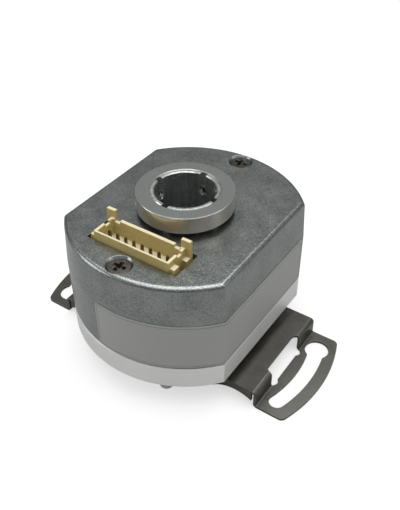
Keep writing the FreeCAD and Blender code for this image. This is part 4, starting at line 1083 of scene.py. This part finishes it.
    def _screws(self, groups: ShaderGroups) -> bpy.types.Object:
        """Two cover screws: a domed head sunk in its cone seat, with a tapered cross recess.

        Args:
            groups: the shared node groups.

        Returns:
            The finished piece.
        """
        crest, rim = self.top - self.head_sink, self.head_radius
        profile = np.array([
            (0.95, self.bottom - 2.2), (0.95, self.top - self.screw_depth), (rim - 0.04, crest - 0.25),
            (rim, crest - 0.2), (rim, crest - 0.12), (rim - 0.04, crest - 0.06), (1.25, crest - 0.03),
            (0.8, crest - 0.005), (0.3, crest), (0.05, crest)])
        parts = []
        for side in (-1, 1):
            centre = (0.0, side * self.screw_place)
            screw = new_object("screw", revolved(profile, centre, 96).mesh("screw"))
            recess = [cross_loop(span, width, centre, crest + rise) for span, width, rise in
                      ((2.5, 0.78, 0.2), (2.3, 0.68, -0.01), (1.6, 0.5, -0.6), (0.8, 0.36, -0.9))]
            carve(screw, [Skin(np.stack(recess)).mesh("recess")])
            parts.append(screw.data)
            bpy.data.objects.remove(screw)
        piece = new_object("cover_screw_pair", joined("cover_screw_pair", parts))
        finish_piece(piece, "cover_screws", groups, edge=0.03)
        return piece


@dataclass
class Shaft:
    """Hollow shaft, clamp collar and set screws. Lengths in millimetres."""

    collar_radius: float = 7.65
    collar_bore: float = 5.47
    collar_bottom: float = 25.62
    collar_top: float = 28.37
    chamfer: float = 0.09
    inner_chamfer: float = 0.11
    screw_radius: float = 0.82
    screw_angle: float = 45.0
    copies: tuple[FineCopy, ...] = (FineCopy("hollow_shaft", "shaft_tube", edge=0.03),
                                    FineCopy("set_screws", "set_screw_pair", edge=0.03))

    def build(self, groups: ShaderGroups) -> list[bpy.types.Object]:
        """Build and dress the shaft's pieces."""
        return [copy.build(groups) for copy in self.copies] + [self._collar(groups)]

    def _collar(self, groups: ShaderGroups) -> bpy.types.Object:
        """Collar: a closed section with chamfers carried round the axis, and a cross hole.

        Args:
            groups: the shared node groups.

        Returns:
            The finished piece.
        """
        low, high, far, near = self.collar_bottom, self.collar_top, self.collar_radius, self.collar_bore
        cut, slight = self.chamfer, self.inner_chamfer
        profile = np.array([
            (near, low), (far - cut - 0.2, low), (far - cut, low), (far, low + cut), (far, low + cut + 0.2),
            (far, high - cut - 0.2), (far, high - cut), (far - cut, high), (far - cut - 0.2, high),
            (near + slight + 0.2, high), (near + slight, high), (near, high - slight)])
        piece = new_object("collar_ring", revolved(profile, steps=256, ring=True).mesh("collar_ring"))
        middle = (low + high) / 2
        bore = revolved(np.array([(self.screw_radius, -far - 1), (self.screw_radius, far + 1)]), steps=48)
        turn = np.radians(self.screw_angle)
        upright = bore.loops
        across = np.stack([upright[..., 2] * np.cos(turn) - upright[..., 0] * np.sin(turn),
                           upright[..., 2] * np.sin(turn) + upright[..., 0] * np.cos(turn),
                           middle + upright[..., 1]], -1)
        carve(piece, [Skin(across).mesh("bore")])
        finish_piece(piece, "clamp_collar", groups, edge=0.03, sharp_angle=28)
        return piece


@dataclass
class Connector:
    """Header shroud and contact row. Lengths in millimetres."""

    contacts: int = 8
    pitch: float = 1.5
    half_width: float = 0.2
    half_depth: float = 0.2
    middle: float = -11.9
    bottom: float = 19.45
    top: float = 25.9
    shroud: FineCopy = FineCopy("connector_header", "header_shroud", edge=0.07)

    def build(self, groups: ShaderGroups) -> list[bpy.types.Object]:
        """Build and dress the connector's pieces."""
        return [self.shroud.build(groups), self._contacts(groups)]

    def _contacts(self, groups: ShaderGroups) -> bpy.types.Object:
        """Contact row: rounded square sections that narrow towards each tip.

        Args:
            groups: the shared node groups.

        Returns:
            The finished piece.
        """
        parts = []
        for index in range(self.contacts):
            centre = ((index - (self.contacts - 1) / 2) * self.pitch, self.middle)
            steps = ((0.6, self.bottom), (1.0, self.bottom + 0.3), (1.0, self.top - 0.45),
                     (0.92, self.top - 0.28), (0.6, self.top - 0.04), (0.45, self.top))
            loops = [box_loop(self.half_width * size, self.half_depth * size, 0.05 * size, centre, height)
                     for size, height in steps]
            parts.append(Skin(np.stack(loops)).mesh("contact"))
        piece = new_object("contact_row", joined("contact_row", parts))
        finish_piece(piece, "connector_contacts", groups)
        return piece


@dataclass
class Bracket:
    """Bent sheet bracket with its spacers and screws."""

    copies: tuple[FineCopy, ...] = (FineCopy("flex_bracket", "bracket_sheet", edge=0.05),
                                    FineCopy("bracket_screws", "bracket_screw_pair", edge=0.05,
                                             finish="pale_zinc"),
                                    FineCopy("bracket_spacers", "bracket_spacer_pair", edge=0.04))

    def build(self, groups: ShaderGroups) -> list[bpy.types.Object]:
        """Build and dress the bracket's pieces."""
        return [copy.build(groups) for copy in self.copies]


@dataclass
class Encoder:
    """The whole encoder."""

    assemblies: tuple = field(default_factory=lambda: (Casing(), Shaft(), Connector(), Bracket()))

    def build(self, groups: ShaderGroups) -> None:
        """Build the fine pieces, then dress every node that none of them stands for.

        Args:
            groups: the shared node groups.
        """
        remade = set()
        for assembly in self.assemblies:
            for piece in assembly.build(groups):
                log.info("%s: %d faces", piece.name, len(piece.data.polygons))
                remade.add(piece["stands_for"])
        for node in FRAME["nodes"]:
            if node not in remade:
                dress_node(node, groups)
                log.info("dressed %s", node)


def main() -> None:
    """Build the studio and the encoder, and note the sizes."""
    logging.basicConfig(level=logging.INFO, format="%(name)s: %(message)s")
    groups = ShaderGroups()
    Studio().build()
    Encoder().build(groups)


if __name__ == "__main__":
    main()
